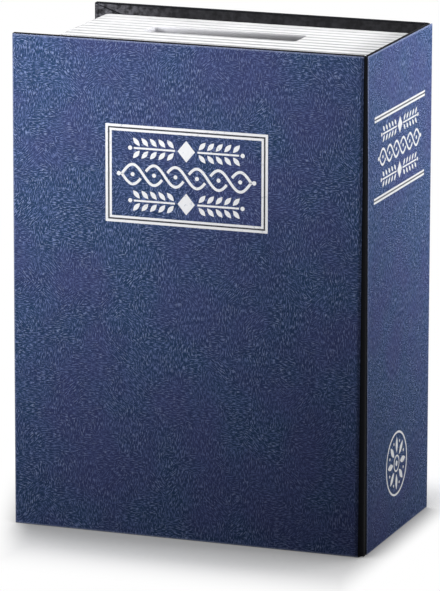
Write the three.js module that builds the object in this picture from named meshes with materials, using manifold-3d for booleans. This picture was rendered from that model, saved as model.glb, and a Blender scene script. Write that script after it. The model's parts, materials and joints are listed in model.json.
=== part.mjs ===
// A small diversion safe made like a hardback book: a cloth and board case round a ribbed block of
// moulded pages, which holds a sheet steel lock box with a money slot in its top.
// Millimetres, +Z up. The origin is under the middle of the closed book, on the surface it stands on.
// The front cover faces -Y, the fore-edge faces -X and the spine faces +X.

import * as THREE from "three";
import { mergeVertices } from "three/addons/utils/BufferGeometryUtils.js";
import Module from "manifold-3d";

const wasm = await Module();
wasm.setup();

// The closed book
const bookWidth = 85;
const bookThickness = 47;
const bookHeight = 115;

// Layers of the case, from the outside in: blue panel, black covering, board, black turn-in and lining
const panelThickness = 0.25;
const wrapThickness = 0.25;
const boardThickness = 1.1;
const turnInWidth = 12;
const panelMargin = 0.15;
const backCoverSetback = 2.3;

// Joint between the front cover and the spine
const jointAxisInset = 0.3;
const jointBoardGap = 1.25;
const jointClearance = 0.3;
const jointFlangeGap = 0.35;
const jointFlangeClearance = 0.1;
const frontBlackAtHead = 0.9;
const frontBlackAtFoot = 1.4;
const spineBlackAtHead = 0.8;
const spineBlackAtFoot = 2.7;
const coverOpenGap = 0.35;

// Moulded page block
const pageSquare = 2.5;
const foreEdgeInset = 3.25;
const pageWall = 2.5;
const pageCornerRadius = 3;
const pageInnerRadius = 0.6;
const ribCount = 13;
const grooveWidth = 0.5;
const grooveDepth = 0.35;

// Money slot
const slotLength = 37.5;
const slotWidth = 8;
const slotCornerRadius = 1;
const slotCentreX = -2;
const slotCentreY = 6.3;
const slotBoxMargin = 0.5;

// Steel box
const boxClearance = 0.35;
const boxWall = 1;
const boxCornerRadius = 1.5;
const lipWidth = 2.5;
const boxRivetInset = 14;
const spineRivetSpacing = 56;

// Door
const doorRecess = 3;
const doorThickness = 1;
const doorSeatGap = 0.3;
const doorEdgeGap = 0.7;
const doorCornerRadius = 1.5;

// Door hinge
const hingeLength = 60;
const knuckleCount = 5;
const knuckleGap = 0.3;
const knuckleWall = 0.7;
const hingePinRadius = 0.7;
const hingeRunningGap = 0.3;
const hingeHeadRadius = 1.5;
const hingeHeadThickness = 0.6;
const leafThickness = 0.8;
const leafWidth = 10;
const leafGap = 0.4;
const leafRivetSpacing = 36;
const fixedLeafRivetShare = 0.6;

// Cam lock
const lockInset = 12.5;
const lockHeadRadius = 6.5;
const lockHeadThickness = 2.2;
const lockWall = 1.2;
const plugRadius = 3;
const plugRecess = 0.2;
const turnGap = 0.3;
const barrelDepth = 10;
const washerRadius = 6.2;
const washerThickness = 0.6;
const nutAcrossFlats = 13;
const nutThickness = 2.5;
const keywayWidth = 1;
const keywayHeight = 4.4;
const keywayDepth = 7;
const camLength = 11;
const camWidth = 7;
const camThickness = 1.2;
const camScrewHeadRadius = 2.3;
const camScrewHeadThickness = 1.2;
const camScrewRadius = 1;
const camScrewGrip = 3;

// Keeper that the turned cam passes behind
const keeperReach = 6.4;
const keeperHeight = 14;
const keeperFoot = 5;
const keeperThickness = 1;

// Rivets
const boxRivetHeadRadius = 2.6;
const boxRivetHeadHeight = 0.9;
const boxRivetRadius = 1.2;
const leafRivetHeadRadius = 1.7;
const leafRivetHeadHeight = 0.6;
const leafRivetRadius = 0.8;

// Shared by every cut piece
const holeClearance = 0.3;
const overrun = 1;
const roundSegments = 24;
const rivetSegments = 12;
const domeSteps = 3;
const cornerSegments = 3;

// Depths of the case's layers behind an outer face
const wrapDepth = panelThickness;
const boardDepth = wrapDepth + wrapThickness;
const liningDepth = boardDepth + boardThickness;
const caseDepth = liningDepth + wrapThickness;

// Planes at a depth behind the front face, the back face and the spine's outer face
const frontY = (depth) => depth - bookThickness / 2;
const backY = (depth) => bookThickness / 2 - depth;
const spineX = (depth) => bookWidth / 2 - depth;

// Case
const foreEdgeX = -bookWidth / 2;
const backForeEdgeX = foreEdgeX + backCoverSetback;
const boardEndX = spineX(jointBoardGap);
const coverAxisX = spineX(jointAxisInset);
const coverAxisY = frontY(jointAxisInset);
const spineFrontY = frontY(caseDepth) + jointClearance;
const spineBackY = backY(caseDepth);
const spineFlangeGap = Math.hypot(jointFlangeGap, wrapThickness) + jointFlangeClearance;

// Page block
const pageLeft = foreEdgeX + foreEdgeInset;
const pageRight = spineX(caseDepth);
const pageBottom = pageSquare;
const pageTop = bookHeight - pageSquare;
const pageFrontY = frontY(caseDepth) + coverOpenGap;
const pageBackY = backY(caseDepth);

// Steel box
const boxLeft = pageLeft + pageWall + boxClearance;
const boxRight = pageRight;
const boxBottom = pageBottom + pageWall + boxClearance;
const boxTop = pageTop - pageWall - boxClearance;
const doorFrontY = pageFrontY + doorRecess;
const doorBackY = doorFrontY + doorThickness;
const boxFrontY = doorBackY + doorSeatGap;
const boxBackY = pageBackY;
const middleZ = bookHeight / 2;

// Door hinge
const knuckleBore = hingePinRadius + hingeRunningGap;
const knuckleRadius = knuckleBore + knuckleWall;
const doorAxisX = boxRight - boxWall - knuckleRadius;
const doorAxisY = boxFrontY - doorSeatGap - knuckleRadius;
const doorRight = doorAxisX - knuckleRadius - leafGap;
const doorLeft = pageLeft + pageWall + doorEdgeGap;

// Cam lock
const lockX = doorLeft + lockInset;
const lockHeadY = doorFrontY - lockHeadThickness;
const plugBore = plugRadius + turnGap;
const barrelRadius = plugBore + lockWall;
const barrelBackY = doorFrontY + barrelDepth;
const camFrontY = barrelBackY + turnGap;
const camBackY = camFrontY + camThickness;

// Finishes
const finishes = {
  leatherette: { color: 0x45547f, roughness: 0.55, metalness: 0 },
  blackPaper: { color: 0x1a1c20, roughness: 0.7, metalness: 0 },
  greyBoard: { color: 0x8d8a84, roughness: 0.9, metalness: 0 },
  pages: { color: 0xf2f2f0, roughness: 0.45, metalness: 0 },
  blackSteel: { color: 0x24262a, roughness: 0.5, metalness: 0.3 },
  plated: { color: 0xb9bcc0, roughness: 0.3, metalness: 1 },
  brass: { color: 0xb08a4a, roughness: 0.35, metalness: 1 },
};

// Solids and meshes

function toSolid(geometry) {
  const bare = geometry.clone();
  bare.deleteAttribute("normal");
  bare.deleteAttribute("uv");
  const merged = mergeVertices(bare);
  return new wasm.Manifold(
    new wasm.Mesh({
      numProp: 3,
      vertProperties: merged.attributes.position.array,
      triVerts: new Uint32Array(merged.index.array),
    }),
  );
}

function toGeometry(solid) {
  const { vertProperties, triVerts } = solid.getMesh();
  const indexed = new THREE.BufferGeometry();
  indexed.setAttribute("position", new THREE.BufferAttribute(vertProperties, 3));
  indexed.setIndex(new THREE.BufferAttribute(triVerts, 1));
  const facets = indexed.toNonIndexed();
  facets.computeVertexNormals();
  return facets;
}

const join = (first, ...others) => others.reduce((made, other) => made.add(other), first);
const cut = (first, ...tools) => tools.reduce((made, tool) => made.subtract(tool), first);

function piece(name, shape, finish) {
  const geometry = shape.isBufferGeometry ? shape : toGeometry(shape);
  const mesh = new THREE.Mesh(geometry, new THREE.MeshStandardMaterial(finishes[finish]));
  mesh.name = name;
  return mesh;
}

// A block between two planes along each axis, given in either order
function block([x0, x1], [y0, y1], [z0, z1]) {
  const size = [Math.abs(x1 - x0), Math.abs(y1 - y0), Math.abs(z1 - z0)];
  const geometry = new THREE.BoxGeometry(...size);
  return geometry.translate((x0 + x1) / 2, (y0 + y1) / 2, (z0 + z1) / 2);
}

const blockSolid = (...spans) => toSolid(block(...spans));

// An outline in the XZ plane, made solid from one Y plane to a deeper one
function prismAlongY(shape, fromY, toY) {
  const options = { depth: toY - fromY, bevelEnabled: false, curveSegments: cornerSegments };
  return new THREE.ExtrudeGeometry(shape, options).rotateX(Math.PI / 2).translate(0, toY, 0);
}

// A rectangle with round corners
function roundedRectangle([left, right], [low, high], radius) {
  const shape = new THREE.Shape();
  shape.moveTo(left + radius, low);
  shape.lineTo(right - radius, low);
  shape.absarc(right - radius, low + radius, radius, -Math.PI / 2, 0);
  shape.lineTo(right, high - radius);
  shape.absarc(right - radius, high - radius, radius, 0, Math.PI / 2);
  shape.lineTo(left + radius, high);
  shape.absarc(left + radius, high - radius, radius, Math.PI / 2, Math.PI);
  shape.lineTo(left, low + radius);
  shape.absarc(left + radius, low + radius, radius, Math.PI, 1.5 * Math.PI);
  shape.closePath();
  return shape;
}

// A turned piece about the Y axis, from [radius, y] points in order of rising y on the outside
function turned(points, segments = roundSegments) {
  const profile = points.map(([radius, y]) => new THREE.Vector2(radius, y));
  return new THREE.LatheGeometry(profile, segments);
}

function rod(radius, fromY, toY, segments = roundSegments) {
  return turned([[0, fromY], [radius, fromY], [radius, toY], [0, toY]], segments);
}

function ring(outer, inner, fromY, toY) {
  return turned([[inner, fromY], [outer, fromY], [outer, toY], [inner, toY], [inner, fromY]]);
}

// A turned piece stood on end, so that its own Y becomes Z
const upright = (geometry) => geometry.rotateX(Math.PI / 2);

// A drilled hole for a rivet's shank, on the Y axis
const rivetHole = (radius, fromY, toY) => rod(radius + holeClearance, fromY, toY, rivetSegments);

// The corners of a pattern that is spaced evenly about a middle
const pairAbout = (middle, spacing) => [middle - spacing / 2, middle + spacing / 2];

// Case

const boxRivetXs = [boxLeft + boxRivetInset, boxRight - boxRivetInset];
const boxRivetZs = [boxBottom + boxRivetInset, boxTop - boxRivetInset];
const boxRivetPlaces = boxRivetZs.flatMap((z) => boxRivetXs.map((x) => [x, z]));
const spineRivetY = (boxFrontY + boxBackY) / 2;
const spineRivetZs = pairAbout(middleZ, spineRivetSpacing);

// The drilled holes for the box's rivets, through the steel and on to the back of a board
function backRivetHoles() {
  const from = boxBackY - boxWall - overrun;
  return boxRivetPlaces.map(([x, z]) =>
    toSolid(rivetHole(boxRivetRadius, from, backY(boardDepth)).translate(x, 0, z)),
  );
}

function spineRivetHoles() {
  const from = boxRight - boxWall - overrun;
  return spineRivetZs.map((z) =>
    toSolid(
      rivetHole(boxRivetRadius, from, spineX(boardDepth))
        .rotateZ(-Math.PI / 2)
        .translate(0, spineRivetY, z),
    ),
  );
}

// Front and back covers share their layers. planeY gives the plane at a depth behind the outer face,
// and edgeX is the cover's fore-edge.
function coverBoard(name, planeY, edgeX, holes) {
  const board = blockSolid(
    [edgeX + wrapThickness, boardEndX],
    [planeY(boardDepth), planeY(liningDepth)],
    [wrapThickness, bookHeight - wrapThickness],
  );
  return piece(name, cut(board, ...holes), "greyBoard");
}

// The black covering goes over the board's outer face and turns in over its edges
function coverWrap(name, planeY, edgeX, flangeEndX, holes) {
  const whole = blockSolid(
    [edgeX, boardEndX],
    [planeY(wrapDepth), planeY(caseDepth)],
    [0, bookHeight],
  );
  const boardPocket = blockSolid(
    [edgeX + wrapThickness, boardEndX + overrun],
    [planeY(boardDepth), planeY(liningDepth)],
    [wrapThickness, bookHeight - wrapThickness],
  );
  const liningWindow = blockSolid(
    [edgeX + turnInWidth, boardEndX + overrun],
    [planeY(liningDepth), planeY(caseDepth + overrun)],
    [turnInWidth, bookHeight - turnInWidth],
  );
  const flange = blockSolid(
    [boardEndX - overrun, flangeEndX],
    [planeY(wrapDepth), planeY(boardDepth)],
    [0, bookHeight],
  );
  return piece(name, join(cut(whole, boardPocket, liningWindow, ...holes), flange), "blackPaper");
}

function coverLining(name, planeY, edgeX, holes) {
  const sheet = blockSolid(
    [edgeX + turnInWidth, boardEndX],
    [planeY(liningDepth), planeY(caseDepth)],
    [turnInWidth, bookHeight - turnInWidth],
  );
  return piece(name, cut(sheet, ...holes), "blackPaper");
}

// The blue panel's hinge side leans a little, so more black shows at the foot than at the head
function coverPanel(name, planeY, edgeX, blackAtHead, blackAtFoot) {
  const foot = panelMargin;
  const head = bookHeight - panelMargin;
  const outline = new THREE.Shape();
  outline.moveTo(edgeX + panelMargin, foot);
  outline.lineTo(spineX(blackAtFoot), foot);
  outline.lineTo(spineX(blackAtHead), head);
  outline.lineTo(edgeX + panelMargin, head);
  outline.closePath();
  const faces = [planeY(0), planeY(wrapDepth)].sort((a, b) => a - b);
  return piece(name, prismAlongY(outline, ...faces), "leatherette");
}

function frontCover() {
  const cover = new THREE.Group();
  cover.position.set(coverAxisX, coverAxisY, 0);
  cover.attach(coverBoard("front_board", frontY, foreEdgeX, []));
  cover.attach(coverWrap("front_wrap", frontY, foreEdgeX, coverAxisX - jointFlangeGap, []));
  cover.attach(coverLining("front_lining", frontY, foreEdgeX, []));
  cover.attach(coverPanel("front_panel", frontY, foreEdgeX, frontBlackAtHead, frontBlackAtFoot));
  return cover;
}

function backCover() {
  const holes = backRivetHoles();
  const cover = new THREE.Group();
  cover.add(coverBoard("back_board", backY, backForeEdgeX, holes));
  cover.add(coverWrap("back_wrap", backY, backForeEdgeX, spineX(wrapDepth), holes));
  cover.add(coverLining("back_lining", backY, backForeEdgeX, holes));
  cover.add(coverPanel("back_panel", backY, backForeEdgeX, frontBlackAtHead, frontBlackAtHead));
  return cover;
}

function spineBoard(holes) {
  const board = blockSolid(
    [spineX(liningDepth), spineX(boardDepth)],
    [spineFrontY + wrapThickness, spineBackY - wrapThickness],
    [wrapThickness, bookHeight - wrapThickness],
  );
  return piece("spine_board", cut(board, ...holes), "greyBoard");
}

function spineWrap(holes) {
  const across = [spineX(caseDepth), spineX(wrapDepth)];
  const whole = blockSolid(across, [spineFrontY, spineBackY], [0, bookHeight]);
  const boardSpan = [spineFrontY + wrapThickness, spineBackY - wrapThickness];
  const boardPocket = blockSolid(
    [spineX(liningDepth), spineX(boardDepth)],
    boardSpan,
    [wrapThickness, bookHeight - wrapThickness],
  );
  const liningWindow = blockSolid(
    [spineX(caseDepth + overrun), spineX(liningDepth)],
    boardSpan,
    [turnInWidth, bookHeight - turnInWidth],
  );
  const flanges = blockSolid(
    [spineX(boardDepth), spineX(wrapDepth)],
    [coverAxisY + spineFlangeGap, backY(boardDepth)],
    [0, bookHeight],
  );
  return piece("spine_wrap", join(cut(whole, boardPocket, liningWindow, ...holes), flanges), "blackPaper");
}

function spineLining(holes) {
  const sheet = blockSolid(
    [spineX(caseDepth), spineX(liningDepth)],
    [spineFrontY + wrapThickness, spineBackY - wrapThickness],
    [turnInWidth, bookHeight - turnInWidth],
  );
  return piece("spine_lining", cut(sheet, ...holes), "blackPaper");
}

// Drawn as (-y, z) and turned so that the extrusion runs along X
function spinePanel() {
  const foot = panelMargin;
  const head = bookHeight - panelMargin;
  const outline = new THREE.Shape();
  outline.moveTo(-frontY(spineBlackAtFoot), foot);
  outline.lineTo(-frontY(spineBlackAtHead), head);
  outline.lineTo(-backY(wrapDepth), head);
  outline.lineTo(-backY(wrapDepth), foot);
  outline.closePath();
  const flat = new THREE.ExtrudeGeometry(outline, { depth: panelThickness, bevelEnabled: false });
  const stood = flat.rotateX(Math.PI / 2).rotateZ(-Math.PI / 2);
  return piece("spine_panel", stood.translate(spineX(0), 0, 0), "leatherette");
}

function spine() {
  const holes = spineRivetHoles();
  const group = new THREE.Group();
  group.add(spineBoard(holes), spineWrap(holes), spineLining(holes), spinePanel());
  return group;
}

// Page block

// A three-sided frame that is open at the spine, with its outer faces drawn in by an inset
function pageOutline(inset) {
  const left = pageLeft + inset;
  const bottom = pageBottom + inset;
  const top = pageTop - inset;
  const radius = pageCornerRadius - inset;
  const innerLeft = pageLeft + pageWall;
  const innerBottom = pageBottom + pageWall;
  const innerTop = pageTop - pageWall;
  const shape = new THREE.Shape();
  shape.moveTo(pageRight, bottom);
  shape.lineTo(pageRight, innerBottom);
  shape.lineTo(innerLeft + pageInnerRadius, innerBottom);
  shape.absarc(
    innerLeft + pageInnerRadius,
    innerBottom + pageInnerRadius,
    pageInnerRadius,
    1.5 * Math.PI,
    Math.PI,
    true,
  );
  shape.lineTo(innerLeft, innerTop - pageInnerRadius);
  shape.absarc(
    innerLeft + pageInnerRadius,
    innerTop - pageInnerRadius,
    pageInnerRadius,
    Math.PI,
    Math.PI / 2,
    true,
  );
  shape.lineTo(pageRight, innerTop);
  shape.lineTo(pageRight, top);
  shape.lineTo(left + radius, top);
  shape.absarc(left + radius, top - radius, radius, Math.PI / 2, Math.PI);
  shape.lineTo(left, bottom + radius);
  shape.absarc(left + radius, bottom + radius, radius, Math.PI, 1.5 * Math.PI);
  shape.closePath();
  return shape;
}

function slotTool(margin, fromZ, toZ) {
  const halfLength = slotLength / 2 + margin;
  const halfWidth = slotWidth / 2 + margin;
  const outline = roundedRectangle(
    [slotCentreX - halfLength, slotCentreX + halfLength],
    [slotCentreY - halfWidth, slotCentreY + halfWidth],
    slotCornerRadius + margin,
  );
  const options = { depth: toZ - fromZ, bevelEnabled: false, curveSegments: cornerSegments };
  return toSolid(new THREE.ExtrudeGeometry(outline, options).translate(0, 0, fromZ));
}

// Each rib stands proud of the core by a groove's depth, like a gathering of pages
function pageBlock() {
  const pitch = (pageBackY - pageFrontY) / ribCount;
  const core = toSolid(prismAlongY(pageOutline(grooveDepth), pageFrontY, pageBackY));
  const ribs = Array.from({ length: ribCount }, (_, index) => {
    const from = index === 0 ? pageFrontY : pageFrontY + index * pitch + grooveWidth / 2;
    const to = index === ribCount - 1 ? pageBackY : pageFrontY + (index + 1) * pitch - grooveWidth / 2;
    return toSolid(prismAlongY(pageOutline(0), from, to));
  });
  const slot = slotTool(0, pageTop - pageWall - overrun, pageTop + overrun);
  return piece("page_block", cut(join(core, ...ribs), slot), "pages");
}

// Steel box

const leafRivetZs = pairAbout(middleZ, leafRivetSpacing);
const fixedLeafRivetY = boxFrontY + leafWidth * fixedLeafRivetShare;
const doorLeafRivetX = doorRight - leafWidth / 2;

function fixedLeafRivetHoles() {
  const from = boxRight - boxWall - leafThickness - overrun;
  return leafRivetZs.map((z) =>
    toSolid(
      rivetHole(leafRivetRadius, from, boxRight + overrun)
        .rotateZ(-Math.PI / 2)
        .translate(0, fixedLeafRivetY, z),
    ),
  );
}

function doorLeafRivetHoles() {
  const from = doorFrontY - leafThickness - overrun;
  return leafRivetZs.map((z) =>
    toSolid(rivetHole(leafRivetRadius, from, doorBackY + overrun).translate(doorLeafRivetX, 0, z)),
  );
}

// A tray with its open mouth to the front, and a lip round three sides that the door closes against
function boxTray() {
  const outside = roundedRectangle([boxLeft, boxRight], [boxBottom, boxTop], boxCornerRadius);
  const inside = roundedRectangle(
    [boxLeft + boxWall, boxRight - boxWall],
    [boxBottom + boxWall, boxTop - boxWall],
    boxCornerRadius - boxWall,
  );
  const body = toSolid(prismAlongY(outside, boxFrontY, boxBackY));
  const cavity = toSolid(prismAlongY(inside, boxFrontY + boxWall, boxBackY - boxWall));
  const mouth = blockSolid(
    [boxLeft + boxWall + lipWidth, boxRight - boxWall],
    [boxFrontY - overrun, boxFrontY + boxWall + overrun],
    [boxBottom + boxWall + lipWidth, boxTop - boxWall - lipWidth],
  );
  const slot = slotTool(slotBoxMargin, boxTop - boxWall - overrun, boxTop + overrun);
  const holes = [...backRivetHoles(), ...spineRivetHoles(), ...fixedLeafRivetHoles()];
  return piece("box_tray", cut(body, cavity, mouth, slot, ...holes), "blackSteel");
}

// A dome-headed rivet on the Y axis, head first, with its head's flat side at y = 0
function rivet(headRadius, headHeight, radius, length) {
  const dome = Array.from({ length: domeSteps + 1 }, (_, index) => {
    const turn = (index / domeSteps) * (Math.PI / 2);
    return [headRadius * Math.sin(turn), -headHeight * Math.cos(turn)];
  });
  return turned([...dome, [radius, 0], [radius, length], [0, length]], rivetSegments);
}

function boxRivets() {
  const group = new THREE.Group();
  const length = boxWall + wrapThickness + boardThickness;
  const shape = () => rivet(boxRivetHeadRadius, boxRivetHeadHeight, boxRivetRadius, length);
  boxRivetPlaces.forEach(([x, z], index) => {
    const made = piece(`back_rivet_${index + 1}`, shape(), "plated");
    made.position.set(x, boxBackY - boxWall, z);
    group.add(made);
  });
  spineRivetZs.forEach((z, index) => {
    const made = piece(`spine_rivet_${index + 1}`, shape(), "plated");
    made.rotation.z = -Math.PI / 2;
    made.position.set(boxRight - boxWall, spineRivetY, z);
    group.add(made);
  });
  return group;
}

// Door hinge

const knucklePitch = (hingeLength + knuckleGap) / knuckleCount;
const knuckleFoot = (index) => middleZ - hingeLength / 2 + index * knucklePitch;
const knuckleSpan = (index) => [knuckleFoot(index), knuckleFoot(index) + knucklePitch - knuckleGap];
const knuckleIndices = Array.from({ length: knuckleCount }, (_, index) => index);
const fixedKnuckles = knuckleIndices.filter((index) => index % 2 === 0);
const movingKnuckles = knuckleIndices.filter((index) => index % 2 === 1);
const leafHeights = [knuckleFoot(0), knuckleFoot(0) + hingeLength];

// A rod on the door's axis, between two heights
function uprightRod(radius, [fromZ, toZ]) {
  return toSolid(upright(rod(radius, fromZ, toZ)).translate(doorAxisX, doorAxisY, 0));
}

function hingeLeaf(name, plate, tab, indices, rivetHoles) {
  const barrels = indices.map((index) => uprightRod(knuckleRadius, knuckleSpan(index)));
  const tabs = indices.map((index) => tab(knuckleSpan(index)));
  const [low, high] = leafHeights;
  const bore = uprightRod(knuckleBore, [low - overrun, high + overrun]);
  return piece(name, cut(join(plate, ...tabs, ...barrels), bore, ...rivetHoles), "plated");
}

function fixedLeaf() {
  const across = [boxRight - boxWall - leafThickness, boxRight - boxWall];
  const plate = blockSolid(across, [boxFrontY, boxFrontY + leafWidth], leafHeights);
  const tab = (span) => blockSolid(across, [doorAxisY, boxFrontY + leafThickness], span);
  return hingeLeaf("hinge_fixed_leaf", plate, tab, fixedKnuckles, fixedLeafRivetHoles());
}

function movingLeaf() {
  const depth = [doorFrontY - leafThickness, doorFrontY];
  const plate = blockSolid([doorRight - leafWidth, doorRight], depth, leafHeights);
  const tab = (span) => blockSolid([doorRight - leafThickness, doorAxisX], depth, span);
  return hingeLeaf("hinge_moving_leaf", plate, tab, movingKnuckles, doorLeafRivetHoles());
}

function hingePin() {
  const low = leafHeights[0] - knuckleGap;
  const high = leafHeights[1] + knuckleGap;
  const profile = [
    [0, low - hingeHeadThickness],
    [hingeHeadRadius, low - hingeHeadThickness],
    [hingeHeadRadius, low],
    [hingePinRadius, low],
    [hingePinRadius, high],
    [hingeHeadRadius, high],
    [hingeHeadRadius, high + hingeHeadThickness],
    [0, high + hingeHeadThickness],
  ];
  const pin = piece("hinge_pin", upright(turned(profile)), "plated");
  pin.position.set(doorAxisX, doorAxisY, 0);
  return pin;
}

function leafRivets() {
  const group = new THREE.Group();
  leafRivetZs.forEach((z, index) => {
    const length = leafThickness + boxWall;
    const shape = rivet(leafRivetHeadRadius, leafRivetHeadHeight, leafRivetRadius, length);
    const made = piece(`fixed_leaf_rivet_${index + 1}`, shape, "plated");
    made.rotation.z = -Math.PI / 2;
    made.position.set(boxRight - boxWall - leafThickness, fixedLeafRivetY, z);
    group.add(made);
  });
  return group;
}

// Door

function doorPanel() {
  const outline = roundedRectangle(
    [doorLeft, doorRight],
    [pageBottom + pageWall + doorEdgeGap, pageTop - pageWall - doorEdgeGap],
    doorCornerRadius,
  );
  const plate = toSolid(prismAlongY(outline, doorFrontY, doorBackY));
  const lockHole = toSolid(
    rod(barrelRadius + holeClearance, doorFrontY - overrun, doorBackY + overrun).translate(
      lockX,
      0,
      middleZ,
    ),
  );
  return piece("box_door", cut(plate, lockHole, ...doorLeafRivetHoles()), "blackSteel");
}

function doorLeafRivets() {
  return leafRivetZs.map((z, index) => {
    const length = leafThickness + doorThickness;
    const shape = rivet(leafRivetHeadRadius, leafRivetHeadHeight, leafRivetRadius, length);
    const made = piece(`door_leaf_rivet_${index + 1}`, shape, "plated");
    made.position.set(doorLeafRivetX, doorFrontY - leafThickness, z);
    return made;
  });
}

// Cam lock

function atLock(geometry) {
  return geometry.translate(lockX, 0, middleZ);
}

function lockBarrel() {
  const profile = [
    [plugBore, lockHeadY],
    [lockHeadRadius, lockHeadY],
    [lockHeadRadius, doorFrontY],
    [barrelRadius, doorFrontY],
    [barrelRadius, barrelBackY],
    [plugBore, barrelBackY],
    [plugBore, lockHeadY],
  ];
  return piece("lock_barrel", atLock(turned(profile)), "plated");
}

const washerBackY = doorBackY + washerThickness;

function lockWasher() {
  const shape = ring(washerRadius, barrelRadius + holeClearance, doorBackY, washerBackY);
  return piece("lock_washer", atLock(shape), "plated");
}

function lockNut() {
  const corner = nutAcrossFlats / 2 / Math.cos(Math.PI / 6);
  const outline = new THREE.Shape();
  outline.setFromPoints(
    Array.from({ length: 6 }, (_, index) => {
      const turn = (index * Math.PI) / 3;
      return new THREE.Vector2(corner * Math.cos(turn), corner * Math.sin(turn));
    }),
  );
  const nutBackY = washerBackY + nutThickness;
  const hex = toSolid(prismAlongY(outline, washerBackY, nutBackY));
  const hole = rod(barrelRadius + holeClearance, washerBackY - overrun, nutBackY + overrun);
  return piece("lock_nut", toSolid(atLock(toGeometry(cut(hex, toSolid(hole))))), "plated");
}

function lockPlug() {
  const front = lockHeadY + plugRecess;
  const body = toSolid(atLock(rod(plugRadius, front, camFrontY)));
  const keyway = blockSolid(
    [lockX - keywayWidth / 2, lockX + keywayWidth / 2],
    [front - overrun, front + keywayDepth],
    [middleZ - keywayHeight / 2, middleZ + keywayHeight / 2],
  );
  const holeEndY = camFrontY - camScrewGrip - turnGap;
  const screwHole = rod(camScrewRadius + holeClearance, holeEndY, camFrontY + overrun);
  return piece("lock_plug", cut(body, keyway, toSolid(atLock(screwHole))), "brass");
}

// The cam points up when the lock is open, and towards the fore-edge when it is turned shut
function lockCam() {
  const half = camWidth / 2;
  const reach = camLength - half;
  const outline = new THREE.Shape();
  outline.moveTo(-half, 0);
  outline.absarc(0, 0, half, Math.PI, 2 * Math.PI);
  outline.lineTo(half, reach);
  outline.absarc(0, reach, half, 0, Math.PI);
  outline.closePath();
  const bar = toSolid(atLock(prismAlongY(outline, camFrontY, camBackY)));
  const hole = atLock(rod(camScrewRadius + holeClearance, camFrontY - overrun, camBackY + overrun));
  return piece("lock_cam", cut(bar, toSolid(hole)), "plated");
}

function camScrew() {
  const headY = camBackY + camScrewHeadThickness;
  const profile = [
    [0, camFrontY - camScrewGrip],
    [camScrewRadius, camFrontY - camScrewGrip],
    [camScrewRadius, camBackY],
    [camScrewHeadRadius, camBackY],
    [camScrewHeadRadius, headY],
    [0, headY],
  ];
  return piece("cam_screw", atLock(turned(profile)), "plated");
}

// An angle on the fore-edge wall: its plate stands just in front of the turned cam
function lockKeeper() {
  const wall = boxLeft + boxWall;
  const plateBackY = barrelBackY;
  const plateFrontY = plateBackY - keeperThickness;
  const heights = pairAbout(middleZ, keeperHeight);
  const plate = blockSolid([wall, wall + keeperReach], [plateFrontY, plateBackY], heights);
  const foot = blockSolid([wall, wall + keeperThickness], [plateFrontY - keeperFoot, plateBackY], heights);
  return piece("lock_keeper", join(plate, foot), "plated");
}

function lockWorks() {
  const works = new THREE.Group();
  works.position.set(lockX, doorFrontY, middleZ);
  [lockPlug(), lockCam(), camScrew()].forEach((part) => works.attach(part));
  return works;
}

function door() {
  const group = new THREE.Group();
  group.position.set(doorAxisX, doorAxisY, 0);
  const parts = [doorPanel(), movingLeaf(), ...doorLeafRivets(), lockBarrel(), lockWasher(), lockNut()];
  parts.forEach((part) => group.attach(part));
  group.attach(lockWorks());
  return group;
}

function lockBox() {
  const group = new THREE.Group();
  group.add(boxTray(), boxRivets(), fixedLeaf(), leafRivets(), hingePin(), lockKeeper(), door());
  return group;
}

const safe = new THREE.Group();
safe.add(frontCover(), backCover(), spine(), pageBlock(), lockBox());

export default safe;
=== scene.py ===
"""The looks of a book diversion safe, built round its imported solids.

Covers with a continuous cloth joint, embossed leatherette, foil tooling, a ribbed page block with
its money slot, and the steel lock box that shows when the front cover is opened.
"""

import functools
import json
import math
from collections import namedtuple

import bmesh
import bpy
from bpy.props import FloatProperty, FloatVectorProperty, IntProperty, PointerProperty
from mathutils import Matrix, Vector

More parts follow.
